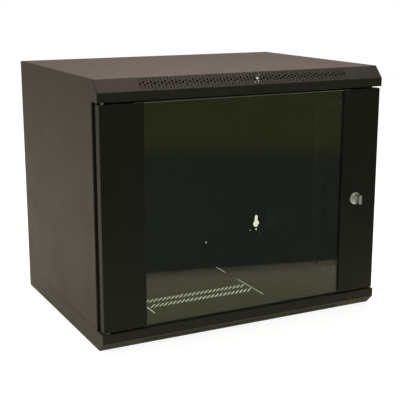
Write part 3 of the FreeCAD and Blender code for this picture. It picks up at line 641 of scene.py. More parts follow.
def threaded(name, foot, direction, radius, length, pitch):
    """Threaded bar: its ridges are drawn as rings, one to a pitch."""
    core = 0.84 * radius
    profile = []
    for ridge in range(int(length / pitch)):
        profile += [(core, ridge * pitch), (radius, (ridge + 0.5) * pitch)]
    return turned(name, foot, direction, profile + [(core, length - 0.3 * pitch), (0.7 * radius, length)], 20)


def bolt(name, foot, direction, fittings):
    """Hexagon bolt whose head stands before the foot."""
    head = hexagon(
        "head", foot, -direction, fittings.bolt_flats, fittings.bolt_head, (False, True)
    )
    shank = threaded("shank", foot, direction, fittings.bolt, fittings.bolt_length, fittings.pitch)
    return join(name, [head, shank])


def at_places(name, piece, places):
    """Copies of a piece that stands at the first place, at each of the others, as one object."""
    first = Vector(places[0])
    return join(name, [piece] + [copy_of(piece, Vector(place) - first) for place in places[1:]])


def both_sides(piece, body, node, name):
    """Settles a piece for the right side's solid and its mirror image for the left side's."""
    twin = mirrored(piece, f"{node}_left_{name}")
    piece.name = piece.data.name = f"{node}_right_{name}"
    settle(piece, body, f"{node}_right")
    settle(twin, body, f"{node}_left")


def round_over(piece, width, test):
    """Rounds the edges that pass a test."""
    mesh = edit(piece, "EDGE")
    select(piece, mesh, mesh.edges, test)
    bpy.ops.mesh.bevel(offset=width, segments=3, affect="EDGES")
    bpy.ops.object.mode_set(mode="OBJECT")


def punch(piece, *tools):
    """Cuts tools' shapes out of a piece."""
    for tool in tools:
        modify(piece, "BOOLEAN", operation="DIFFERENCE", solver="MANIFOLD", object=tool)
        bpy.data.objects.remove(tool)


def weld(piece, other):
    """Makes one sheet of two that meet."""
    modify(piece, "BOOLEAN", operation="UNION", solver="EXACT", object=other)
    bpy.data.objects.remove(other)


def slice_off(piece, point, normal):
    """Cuts away what lies beyond a plane and closes the cut."""
    edit(piece, "FACE")
    bpy.ops.mesh.select_all(action="SELECT")
    bpy.ops.mesh.bisect(plane_co=point, plane_no=normal, use_fill=True, clear_outer=True)
    bpy.ops.object.mode_set(mode="OBJECT")


def row_of(piece, count, step):
    """Repeats a piece along a step, each copy's faces its own."""
    modify(
        piece,
        "ARRAY",
        count=count,
        use_relative_offset=False,
        use_constant_offset=True,
        constant_offset_displace=step,
    )
    return piece


def twin_blocks(name, outer, thickness, near, far, rim=0.0):
    """Upright strips inside the left and the right limit, between two pairs of depth and height."""
    strips = []
    for side in (-1, 1):
        left, right = sorted((side * outer, side * (outer - thickness)))
        strips.append(block(name, (left, *near), (right, *far), rim))
    return strips


def perforate(piece, perforation, upper, lower, margin, rows):
    """Punches the graduated pattern through a slope between its upper and lower fold, with the
    column that repeats every two pitches modelled once and arrayed along the cabinet."""
    middle = (upper + lower) / 2
    along = (upper - lower).normalized()
    through = along.cross(RIGHT)
    reach = through * 4 * MM
    limit = (upper - lower).length / 2 - margin
    even, odd = rows
    tools = []
    for first, column in ((0, even), (1, odd)):
        x = (first - (perforation.columns - 1) / 2) * perforation.pitch
        holes = [
            bored(middle + RIGHT * x + along * row, reach, size / 2, 12)
            for row, size in column
            if abs(row) + size / 2 <= limit
        ]
        count = (perforation.columns + 1 - first) // 2
        tools.append(row_of(join("holes", holes), count, RIGHT * 2 * perforation.pitch))
    punch(piece, join("holes", tools))


def bar_rows():
    """Heights of the lower and the upper bars' middle."""
    return (bar_low.z + bar_high.z) / 2, (upper_low.z + upper_high.z) / 2


def rail_bolt_y():
    return (rail_low.y + rail_high.y) / 2


def buffer_rows():
    return buffer_low.z + 5.45 * MM, buffer_high.z - 5.45 * MM


def stud_places(fittings, y=0.0):
    """Studs behind the right strip: one near each end and one clear of the lock."""
    middle = (strip_low.z + strip_high.z) / 2
    reach = (clamp_high.z - clamp_low.z) / 2 - fittings.stud_inset
    heights = middle - reach, middle + fittings.stud_middle, middle + reach
    return [Vector((glass_high.x + fittings.stud_offset, y, z)) for z in heights]


def lock_axis(y):
    """Point on the lock's axis."""
    return Vector(((rosette_low.x + rosette_high.x) / 2, y, (rosette_low.z + rosette_high.z) / 2))


def base_high_edge(sheet):
    """Height of the base pan's front lip."""
    return sheet.base_chamfer_height + sheet.base_lip


def level(edge, axis):
    """Whether an edge runs along one axis."""
    a, b = (v.co for v in edge.verts)
    return all(abs(getattr(a, other) - getattr(b, other)) < 1e-6 for other in "xyz" if other != axis)


def both_ways(*distances):
    """Places on either side of the middle, from distances in millimetres."""
    return [side * distance * MM for side in (-1, 1) for distance in distances]


def hole_rows(perforation):
    """The even and the odd column of the graduated pattern: distance from the middle and diameter."""
    even = [(0.0, perforation.large)]
    even += [(row, perforation.small) for row in both_ways(10.8, 6.2)]
    odd = [(row, perforation.medium) for row in both_ways(3.25)]
    odd += [(row, perforation.small) for row in both_ways(8.7)]
    return even, odd


# ---- pieces --------------------------------------------------------------------------------------
class CABINET_OT_finishes(bpy.types.Operator):
    """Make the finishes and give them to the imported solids"""

    bl_idname = "cabinet.finishes"
    bl_label = "Finishes"

    def execute(self, context):
        finish_materials(context.scene.cabinet_colours)
        for part in frame["record"]["subparts"]:
            coat_node(part["node"], part["material_slot"])
        return {"FINISHED"}


class CABINET_OT_roof(bpy.types.Operator):
    """Fold the roof cover and punch its perforation"""

    bl_idname = "cabinet.roof"
    bl_label = "Roof cover"

    def execute(self, context):
        sheet = context.scene.cabinet_sheet
        front, top, rear = roof_low.y, roof_high.z, roof_high.y
        slope_foot = top - sheet.roof_chamfer_height
        slope_head = front + sheet.roof_chamfer_depth
        x, width = roof_low.x, RIGHT * (roof_high.x - roof_low.x)
        path = [
            (x, front + sheet.lip_return, roof_low.z),
            (x, front, roof_low.z),
            (x, front, slope_foot),
            (x, slope_head, top),
            (x, rear, top),
            (x, rear, top - sheet.flange),
        ]
        roof = folded_sheet("roof_cover_sheet", path, width, sheet.thickness, sheet.fold_radius, 0.0)
        perforation = context.scene.cabinet_perforation
        perforate(
            roof,
            perforation,
            Vector((0, slope_head, top)),
            Vector((0, front, slope_foot)),
            3 * MM,
            hole_rows(perforation),
        )
        under = Vector((pivot.x, pivot.y, roof_low.z))
        fittings = context.scene.cabinet_fittings
        clear = fittings.pin + fittings.play
        punch(roof, rod("hole", under - UP * MM, under + UP * 3 * MM, clear, 32))
        near = front + sheet.lip_return, top - sheet.flange
        far = rear - 2 * sheet.thickness, top - sheet.thickness
        folds = twin_blocks("fold", roof_high.x, sheet.thickness, near, far, sheet.rim)
        roof = join("roof_cover_sheet", [roof] + folds)
        settle(roof, "cabinet", "roof_cover")
        return {"FINISHED"}


class CABINET_OT_base(bpy.types.Operator):
    """Fold the base pan and punch its perforation, vents and knock-outs"""

    bl_idname = "cabinet.base"
    bl_label = "Base pan"

    def execute(self, context):
        sheet, floor = context.scene.cabinet_sheet, context.scene.cabinet_floor
        front, back, outer = base_low.y, base_high.y, base_high.x
        edge = base_high_edge(sheet)
        slope_foot = front + sheet.base_chamfer_depth
        rear = back - sheet.thickness - sheet.seam
        x = sheet.thickness - outer
        path = [
            (x, front + sheet.lip_return, edge),
            (x, front, edge),
            (x, front, sheet.base_chamfer_height),
            (x, slope_foot, 0),
            (x, rear, 0),
            (x, rear, sheet.flange),
        ]
        pan = folded_sheet("pan", path, RIGHT * -2 * x, sheet.thickness, sheet.fold_radius, 0.0, -1)
        perforation = context.scene.cabinet_perforation
        perforate(
            pan,
            perforation,
            Vector((0, front, sheet.base_chamfer_height)),
            Vector((0, slope_foot, 0)),
            3 * MM,
            hole_rows(perforation),
        )
        above = Vector((pivot.x, pivot.y, edge + MM))
        fittings = context.scene.cabinet_fittings
        pin_hole = rod("hole", above, above - UP * 4 * MM, fittings.pin + fittings.play, 32)
        punch(pan, pin_hole, *self.slots(floor), *self.slits(floor), *self.tie_holes(floor, outer))
        walls = twin_blocks("wall", outer, sheet.thickness, (front, 0), (back, base_high.z))
        slope = Vector((0, -sheet.base_chamfer_height, -sheet.base_chamfer_depth))
        for wall in walls:
            slice_off(wall, (0, slope_foot, 0), slope)
            punch(
                wall,
                block("step", (-1, front - MM, edge), (1, front + sheet.lip_return, base_high.z + MM)),
            )
            soften(wall, sheet.rim)
        pan = join("base_pan_sheet", [pan] + walls)
        settle(pan, "cabinet", "base_pan")
        return {"FINISHED"}

    def slots(self, floor):
        """Tools for the two rows of slanted vents."""
        tools = []
        for y in floor.vent_front, floor.vent_front + floor.vent_spacing:
            slot = block(
                "slot",
                (-floor.vent_width / 2, -floor.vent_length / 2, -0.005),
                (floor.vent_width / 2, floor.vent_length / 2, 0.005),
            )
            slot.rotation_euler.z = -floor.vent_slant
            slot.location = ((1 - floor.vent_count) / 2 * floor.vent_pitch, y, 0)
            bpy.ops.object.transform_apply(location=True, rotation=True, scale=True)
            tools.append(row_of(slot, floor.vent_count, RIGHT * floor.vent_pitch))
        return tools

    def slits(self, floor):
        """Tools for the slits around the fan and the cable knock-outs, which leave ties of steel."""
        half, slit, tie = floor.knockout_width / 2, floor.slit, floor.tie / 2
        tools = []
        for near, far in ((floor.fan_front, floor.fan_back), (floor.cable_front, floor.cable_back)):
            for side in (-1, 1):
                x = sorted((side * half, side * (half - slit)))
                tools.append(block("slit", (x[0], near + 2 * slit, -0.005), (x[1], far - 2 * slit, 0.005)))
                x = sorted((side * tie, side * (half - 2 * slit)))
                for y in near, far - floor.long_slit:
                    tools.append(block("slit", (x[0], y, -0.005), (x[1], y + floor.long_slit, 0.005)))
        return tools

    def tie_holes(self, floor, outer):
        """Tools for the twin holes beside each wall, for a cable tie."""
        inset, half = outer - floor.tie_inset, floor.tie_pitch / 2
        return [
            bored((side * x, floor.tie_row, 0), UP * 5 * MM, floor.tie_hole / 2, 16)
            for side in (-1, 1)
            for x in (inset + half, inset - half)
        ]


class CABINET_OT_sides(bpy.types.Operator):
    """Fold the two side panels"""

    bl_idname = "cabinet.sides"
    bl_label = "Side panels"

    def execute(self, context):
        sheet = context.scene.cabinet_sheet
        outer, inner = panel_high.x, panel_high.x - sheet.thickness
        front, back, top = panel_low.y, panel_high.y, panel_high.z
        side_front = front + sheet.lip_return
        shoulder, bottom = roof_low.z, base_high.z + sheet.seam
        path = [
            (outer - sheet.flange, side_front, bottom),
            (outer, side_front, bottom),
            (outer, back, bottom),
        ]
        wall = folded_sheet(
            "wall", path, UP * (shoulder - bottom), sheet.thickness, sheet.fold_radius, 0.0, -1
        )
        ear = block("ear", (inner, front, shoulder), (outer, back, top))
        slope = Vector((0, -sheet.roof_chamfer_height, sheet.roof_chamfer_depth))
        slice_off(ear, (0, front + sheet.roof_chamfer_depth, top), slope)
        weld(wall, ear)
        soften(wall, sheet.rim, 2, 60)
        tab_outer = inner - sheet.weld_gap
        tab_back = back - sheet.thickness - sheet.flange - sheet.seam
        tab = block(
            "tab",
            (tab_outer - sheet.thickness, side_front + sheet.flange, panel_low.z),
            (tab_outer, tab_back, bottom + sheet.thickness),
            sheet.rim,
        )
        right = join("side_panel_right_sheet", [wall, tab])
        left = mirrored(right, "side_panel_left_sheet")
        x = (buffer_low.x + buffer_high.x) / 2
        for z in buffer_rows():
            start = Vector((x, side_front - MM, z))
            punch(right, rod("hole", start, start + BACKWARD * 4 * MM, 2 * MM, 24))
        settle(right, "cabinet", "side_panel_right")
        settle(left, "cabinet", "side_panel_left")
        return {"FINISHED"}


class CABINET_OT_back(bpy.types.Operator):
    """Fold the back panel and punch its keyholes"""

    bl_idname = "cabinet.back"
    bl_label = "Back panel"

    def execute(self, context):
        sheet, wall = context.scene.cabinet_sheet, context.scene.cabinet_wall_holes
        x, back, top = back_low.x, back_high.y, back_high.z
        path = [(x, back, 0), (x, back, top), (x, back_low.y, top), (x, back_low.y, top - sheet.flange)]
        span = RIGHT * (back_high.x - x)
        panel = folded_sheet("panel", path, span, sheet.thickness, sheet.fold_radius, sheet.rim, -1)
        for side in (-1, 1):
            for z in wall.lower, wall.lower + wall.spacing:
                self.keyhole(panel, wall, side, z)
            punch(panel, self.tool((side * wall.low_across, wall.low_height), wall.low_hole / 2))
        near = back - sheet.thickness - sheet.flange, base_high.z + sheet.seam
        far = back - sheet.thickness, top - sheet.flange - sheet.seam
        folds = twin_blocks("fold", back_high.x, sheet.thickness, near, far, sheet.rim)
        panel = join("back_panel_sheet", [panel] + folds)
        settle(panel, "cabinet", "back_panel")
        return {"FINISHED"}

    def tool(self, place, radius):
        x, z = place
        return rod("hole", (x, back_high.y - 4 * MM, z), (x, back_high.y + 2 * MM, z), radius, 24)

    def keyhole(self, panel, wall, side, z):
        """One keyhole with its round entry below, a fixing hole under it and a pilot hole beside it."""
        x, half = side * wall.half_span, wall.slot / 2
        rise = wall.rise - half
        slot = block("slot", (x - half, back_high.y - 4 * MM, z), (x + half, back_high.y + 2 * MM, z + rise))
        punch(
            panel,
            self.tool((x, z), wall.entry / 2),
            slot,
            self.tool((x, z + rise), half),
            self.tool((x, z - wall.fixing_drop), wall.fixing / 2),
            self.tool((x - side * wall.pilot_in, z - wall.pilot_drop), wall.pilot / 2),
        )


class CABINET_OT_strips(bpy.types.Operator):
    """Fold the door's two steel strips"""

    bl_idname = "cabinet.strips"
    bl_label = "Door strips"

    def execute(self, context):
        sheet = context.scene.cabinet_sheet
        x, outer = strip_low.x, strip_high.x
        front, back = strip_low.y, strip_high.y
        low = strip_low.z
        path = [
            (x, front + sheet.hem, low),
            (x, front, low),
            (outer, front, low),
            (outer, back, low),
            (outer - sheet.flange, back, low),
        ]
        span = UP * (strip_high.z - low)
        strip = folded_sheet("strip", path, span, sheet.thickness, sheet.fold_radius, 0.0, -1)
        ends = low, strip_high.z
        round_over(
            strip,
            sheet.corner,
            lambda edge: any(
                all(abs(v.co.z - z) < 1e-5 and v.co.y - front < 1e-5 for v in edge.verts) for z in ends
            ),
        )
        fittings = context.scene.cabinet_fittings
        sunk = 0.2 * MM
        places = stud_places(fittings, front + sheet.thickness - sunk)
        length, pitch = fittings.stud_length + sunk, 0.8 * fittings.pitch
        stud = threaded("stud", places[0], BACKWARD, fittings.stud, length, pitch)
        studs = at_places("studs", stud, places)
        beside_glass = glass_high.x + 4 * MM
        cap_back = back - sheet.thickness - sheet.weld_gap
        caps = [
            block(
                "cap",
                (beside_glass, front + sheet.thickness / 2, z),
                (outer - sheet.thickness / 2, cap_back, z + sheet.thickness),
            )
            for z in (low, strip_high.z - sheet.thickness)
        ]
        left = [mirrored(piece, "left") for piece in (strip, studs, *caps)]
        for cap, z in zip(left[2:], (low, strip_high.z)):
            punch(cap, bored(pivot + UP * z, UP * 3 * MM, fittings.pin + fittings.running, 32))
        lock, axis = context.scene.cabinet_lock, lock_axis(front)
        around = lock.barrel + lock.play
        opening = rod("opening", axis + FORWARD * MM, axis + BACKWARD * 3 * MM, around, 48)
        for way in (LEFT, RIGHT):
            slice_off(opening, axis + way * (lock.flat + lock.play), way)
        punch(strip, opening)
        for side, pieces in ("right", [strip, studs, *caps]), ("left", left):
            for piece in (pieces[0], *pieces[2:]):
                soften(piece, sheet.rim, 1)
            settle(join(f"door_strip_{side}_sheet", pieces), "door", f"door_strip_{side}")
        return {"FINISHED"}


class CABINET_OT_glass(bpy.types.Operator):
    """Cut the pane and grind its edges"""

    bl_idname = "cabinet.glass"
    bl_label = "Glass"

    def execute(self, context):
        pane = block("glass_pane", glass_low, glass_high)
        soften(pane, 0.8 * MM, 1)
        settle(pane, "door", "door_glass")
        pane.data.materials.append(finishes["ground_edge"])
        for face in pane.data.polygons:
            if face.normal.z > 0.3:
                face.material_index = 1
        return {"FINISHED"}


class CABINET_OT_lock(bpy.types.Operator):
    """Turn the lock's rosette and spindle, and shape its thumb wing and cam"""

    bl_idname = "cabinet.lock"
    bl_label = "Lock"

    def execute(self, context):
        sheet, fittings = context.scene.cabinet_sheet, context.scene.cabinet_fittings
        lock = context.scene.cabinet_lock
        face = lock_axis(strip_low.y - fittings.play)
        x, z = face.x, face.z
        rim = rosette_high.x - x
        height = face.y - rosette_low.y
        rosette = turned(
            "lock_rosette",
            face,
            FORWARD,
            [
                (rim, 0.0),
                (rim, 0.3 * height),
                (rim - 0.3 * MM, 0.5 * height),
                (rim - 1.0 * MM, 0.7 * height),
                (rim - 2.2 * MM, 0.87 * height),
                (rim - 3.6 * MM, 0.97 * height),
                (rim - 5.0 * MM, height),
                (rim - 7.0 * MM, height),
            ],
            64,
        )
        length = rosette_high.y - face.y
        profile = [(lock.barrel, 0.0), (lock.barrel, length), (0.6 * lock.barrel, length)]
        barrel = turned("barrel", face, BACKWARD, profile)
        for side in (LEFT, RIGHT):
            slice_off(barrel, face + side * lock.flat, side)
        soften(barrel, 0.3 * MM)
        for piece in rosette, barrel:
            punch(piece, rod("bore", face + FORWARD * 5 * MM, face + BACKWARD * 40 * MM, lock.bore, 48))
        settle(join("lock_body_turned", [rosette, barrel]), "door", "lock_body")
        behind = lock_axis(strip_low.y + sheet.thickness + fittings.play)
        thread = lock.barrel + lock.play
        one = nut("lock_nut_hexagon", behind, BACKWARD, lock.nut_flats, lock.nut, thread)
        settle(one, "door", "lock_nut")
        self.wing(lock, x, z)
        self.cam(lock, x, z)
        return {"FINISHED"}

    def wing(self, lock, x, z):
        """Thumb wing cast in one with its collar and spindle, whose square end carries the cam."""
        low, high = wing_low, wing_high
        hub = rosette_low.y - 0.3 * MM
        half = lock.wing / 2
        wing = block("wing", (x - half, low.y, low.z), (x + half, hub + 0.2 * MM, high.z))
        soften(wing, lock.wing_edge, 4)
        collar = turned(
            "collar",
            (x, hub, z),
            FORWARD,
            [(7.95 * MM, 0.0), (7.95 * MM, 1.2 * MM), (7.2 * MM, 2.0 * MM), (3.6 * MM, 2.6 * MM)],
        )
        shoulder = cam_low.y - 1.3 * MM
        spindle = rod("spindle", (x, hub, z), (x, shoulder, z), lock.spindle, 48)
        half = lock.square / 2
        square = block(
            "square", (x - half, shoulder - MM, z - half), (x + half, high.y, z + half), 0.8 * MM
        )
        punch(square, rod("thread", (x, high.y + MM, z), (x, shoulder - 2 * MM, z), 2.1 * MM, 24))
        settle(join("lock_wing_cast", [wing, collar, spindle, square]), "lock_turn", "lock_wing")

    def cam(self, lock, x, z):
        """Steel cam on the spindle's square, and the slotted screw that holds it."""
        radius = (cam_high.x - cam_low.x) / 2
        cam = block("lock_cam_sheet", cam_low, (cam_high.x, cam_high.y, z))

        def free_end(edge):
            return level(edge, "y") and all(v.co.z < cam_low.z + 1e-5 for v in edge.verts)

        round_over(cam, lock.cam_corner, free_end)
        weld(cam, rod("head", (x, cam_low.y, z), (x, cam_high.y, z), radius, 48))
        half = lock.cam_square / 2
        punch(cam, block("square", (x - half, -1, z - half), (x + half, 1, z + half)))
        soften(cam, 0.2 * MM, 1)
        settle(cam, "lock_turn", "lock_cam")
        face = Vector((x, cam_high.y + 0.1 * MM, z))
        head = turned(
            "head",
            face,
            BACKWARD,
            [
                (lock.screw_head, 0.0),
                (lock.screw_head, 1.3 * MM),
                (lock.screw_head - 0.5 * MM, 2.1 * MM),
                (lock.screw_head - 1.6 * MM, 2.5 * MM),
                (lock.screw_head - 2.8 * MM, 2.6 * MM),
            ],
        )
        half = lock.screw_slot / 2
        punch(
            head,
            block("slot", (x - 1, face.y + 1.3 * MM, z - half), (x + 1, face.y + 1, z + half)),
        )
        shank = threaded("shank", face, FORWARD, 2 * MM, 8 * MM, 0.7 * MM)
        settle(join("cam_screw_turned", [head, shank]), "lock_turn", "cam_screw")


class CABINET_OT_rails(bpy.types.Operator):
    """Fold the two 19 inch rails and punch their square holes"""

    bl_idname = "cabinet.rails"
    bl_label = "Rails"

    def execute(self, context):
        sheet, fittings = context.scene.cabinet_sheet, context.scene.cabinet_fittings
        low, high = rail_low, rail_high
        path = [
            (low.x, low.y + fittings.lip, low.z),
            (low.x, low.y, low.z),
            (high.x, low.y, low.z),
            (high.x, high.y, low.z),
        ]
        span = UP * (high.z - low.z)
        rail = folded_sheet("rail", path, span, fittings.thickness, sheet.fold_radius, 0.0, -1)
        half, x = fittings.hole / 2, fittings.half_span
        first = (roof_high.z - fittings.units * fittings.unit) / 2
        for step in (6.35 * MM, 22.225 * MM, 38.1 * MM):
            z = first + step
            tool = block("hole", (x - half, low.y - MM, z - half), (x + half, low.y + 3 * MM, z + half))
            punch(rail, row_of(tool, fittings.units, UP * fittings.unit))
        punch(rail, *self.bolt_holes(high.x, rail_bolt_y(), fittings))
        soften(rail, fittings.rim, 1)
        both_sides(rail, "cabinet", "rail", "folded")
        face = high.x - fittings.thickness - fittings.play
        places = [(face, rail_bolt_y(), z) for z in bar_rows()]
        bolts = at_places("bolts", bolt("bolt", Vector(places[0]), RIGHT, fittings), places)
        both_sides(bolts, "cabinet", "rail_bolts", "turned")
        face = bar_low.x + fittings.thickness + fittings.play
        places = [(face, rail_bolt_y(), z) for z in bar_rows()]
        thread = fittings.bolt + fittings.play
        one = nut("nut", Vector(places[0]), RIGHT, fittings.bolt_flats, fittings.nut, thread)
        both_sides(at_places("nuts", one, places), "cabinet", "rail_nuts", "turned")
        return {"FINISHED"}

    @staticmethod
    def bolt_holes(x, y, fittings):
        """Tools for the bolt holes, at the two bars' heights, through sheet near x."""
        return [bored((x, y, z), RIGHT * 4 * MM, fittings.bolt + fittings.bolt_play) for z in bar_rows()]


class CABINET_OT_bars(bpy.types.Operator):
    """Fold the depth bars and their feet, and turn the bolts that join them"""

    bl_idname = "cabinet.bars"
    bl_label = "Depth bars"

    def execute(self, context):
        sheet, fittings = context.scene.cabinet_sheet, context.scene.cabinet_fittings
        bolt_rows = bar_low.y + fittings.bolt_inset, bar_high.y - fittings.bolt_inset
        lower = self.bar(sheet, fittings, bolt_rows)
        upper = copy_of(lower, UP * (upper_low.z - bar_low.z))
        both_sides(lower, "cabinet", "bar_lower", "folded")
        both_sides(upper, "cabinet", "bar_upper", "folded")
        feet = [self.foot(sheet, fittings, y, way) for y, way in zip(bolt_rows, (1, -1))]
        feet += [copy_of(foot, UP * (upper_low.z - bar_low.z)) for foot in feet]
        both_sides(join("feet", feet), "cabinet", "standoffs", "folded")
        places = [(bar_low.x - fittings.play, y, z) for y in bolt_rows for z in bar_rows()]
        bolts = at_places("bolts", bolt("bolt", Vector(places[0]), RIGHT, fittings), places)
        both_sides(bolts, "cabinet", "bar_bolts", "turned")
        return {"FINISHED"}

    def bar(self, sheet, fittings, bolt_rows):
        """Channel with two slots, along which the rail's bolt can move."""
        low, high = bar_low, bar_high
        path = [
            (high.x, low.y, high.z),
            (low.x, low.y, high.z),
            (low.x, low.y, low.z),
            (high.x, low.y, low.z),
        ]
        span = BACKWARD * (high.y - low.y)
        bar = folded_sheet("bar", path, span, fittings.thickness, sheet.fold_radius, 0.0, 1)
        middle = bar_rows()[0]
        radius = fittings.bolt + fittings.bolt_play
        start, end = low.y + fittings.bar_slot_front, high.y - fittings.bar_slot_back
        tie = fittings.bar_tie / 2
        centre = (start + end) / 2
        for near, far in ((start + radius, centre - tie - radius), (centre + tie + radius, end - radius)):
            tool = block("slot", (low.x - MM, near, middle - radius), (low.x + 4 * MM, far, middle + radius))
            punch(bar, tool, *[self.hole(y, middle, radius) for y in (near, far)])
        punch(bar, *[self.hole(y, middle, radius) for y in bolt_rows])
        soften(bar, fittings.rim, 1)
        return bar

    def hole(self, y, z, radius):
        return rod("hole", (bar_low.x - MM, y, z), (bar_low.x + 4 * MM, y, z), radius, 24)

    def foot(self, sheet, fittings, y, way):
        """Z-shaped foot between a bar and the side wall; way is 1 towards the back."""
        near, far = feet_low.x, feet_high.x - fittings.thickness
        middle = bar_rows()[0]
        low = middle - fittings.foot_height / 2
        reach = fittings.foot_face / 2 * way
        path = [(near, y - reach, low), (near, y + reach, low), (far, y + reach, low)]
        path.append((far, y + reach + fittings.foot_sole * way, low))
        span = UP * fittings.foot_height
        foot = folded_sheet("foot", path, span, fittings.thickness, sheet.fold_radius, 0.0, way)
        thread = fittings.bolt + fittings.play
        punch(foot, rod("hole", (near - MM, y, middle), (near + 3 * MM, y, middle), thread, 24))
        soften(foot, fittings.rim, 1)
        return foot


class CABINET_OT_clamps(bpy.types.Operator):
    """Lay the tapes and gaskets on the pane, fold the clamps and turn their nuts"""

    bl_idname = "cabinet.clamps"
    bl_label = "Glass clamps"

    def execute(self, context):
        sheet, fittings = context.scene.cabinet_sheet, context.scene.cabinet_fittings
        for node in ("glass_tape", "clamp_gasket"):
            both_sides(block(node, *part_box(f"{node}_right"), 0.3 * MM), "door", node, "strip")
        low, high = clamp_low, clamp_high
        step = glass_high.x + 1.5 * MM
        touch = high.y - sheet.thickness
        path = [(low.x, touch, low.z), (step, touch, low.z), (step, low.y, low.z), (high.x, low.y, low.z)]
        span = UP * (high.z - low.z)
        clamp = folded_sheet("clamp", path, span, sheet.thickness, sheet.fold_radius, 0.0, -1)
        clear = fittings.stud + 2 * fittings.play
        for foot in stud_places(fittings, low.y):
            punch(clamp, rod("hole", foot + FORWARD * MM, foot + BACKWARD * 3 * MM, clear, 24))
        left = mirrored(clamp, "hinge_side_clamp_folded")
        x, _, z = lock_axis(low.y)
        room = 14.1 * MM  # half the way around the lock's nut
        punch(clamp, block("room", (x - room, low.y - MM, z - room), (x + room, low.y + 3.4 * MM, z + room)))
        clamp.name = clamp.data.name = "lock_side_clamp_folded"
        for piece, node in ((clamp, "lock_side_clamp"), (left, "hinge_side_clamp")):
            soften(piece, 0.2 * MM, 1)
            settle(piece, "door", node)
        face = low.y + sheet.thickness + fittings.play
        places = stud_places(fittings, face)
        one = nut("nut", places[0], BACKWARD, fittings.stud_nut_flats, 4 * MM, fittings.stud + fittings.play)
        both_sides(at_places("nuts", one, places), "door", "clamp_nuts", "turned")
        return {"FINISHED"}


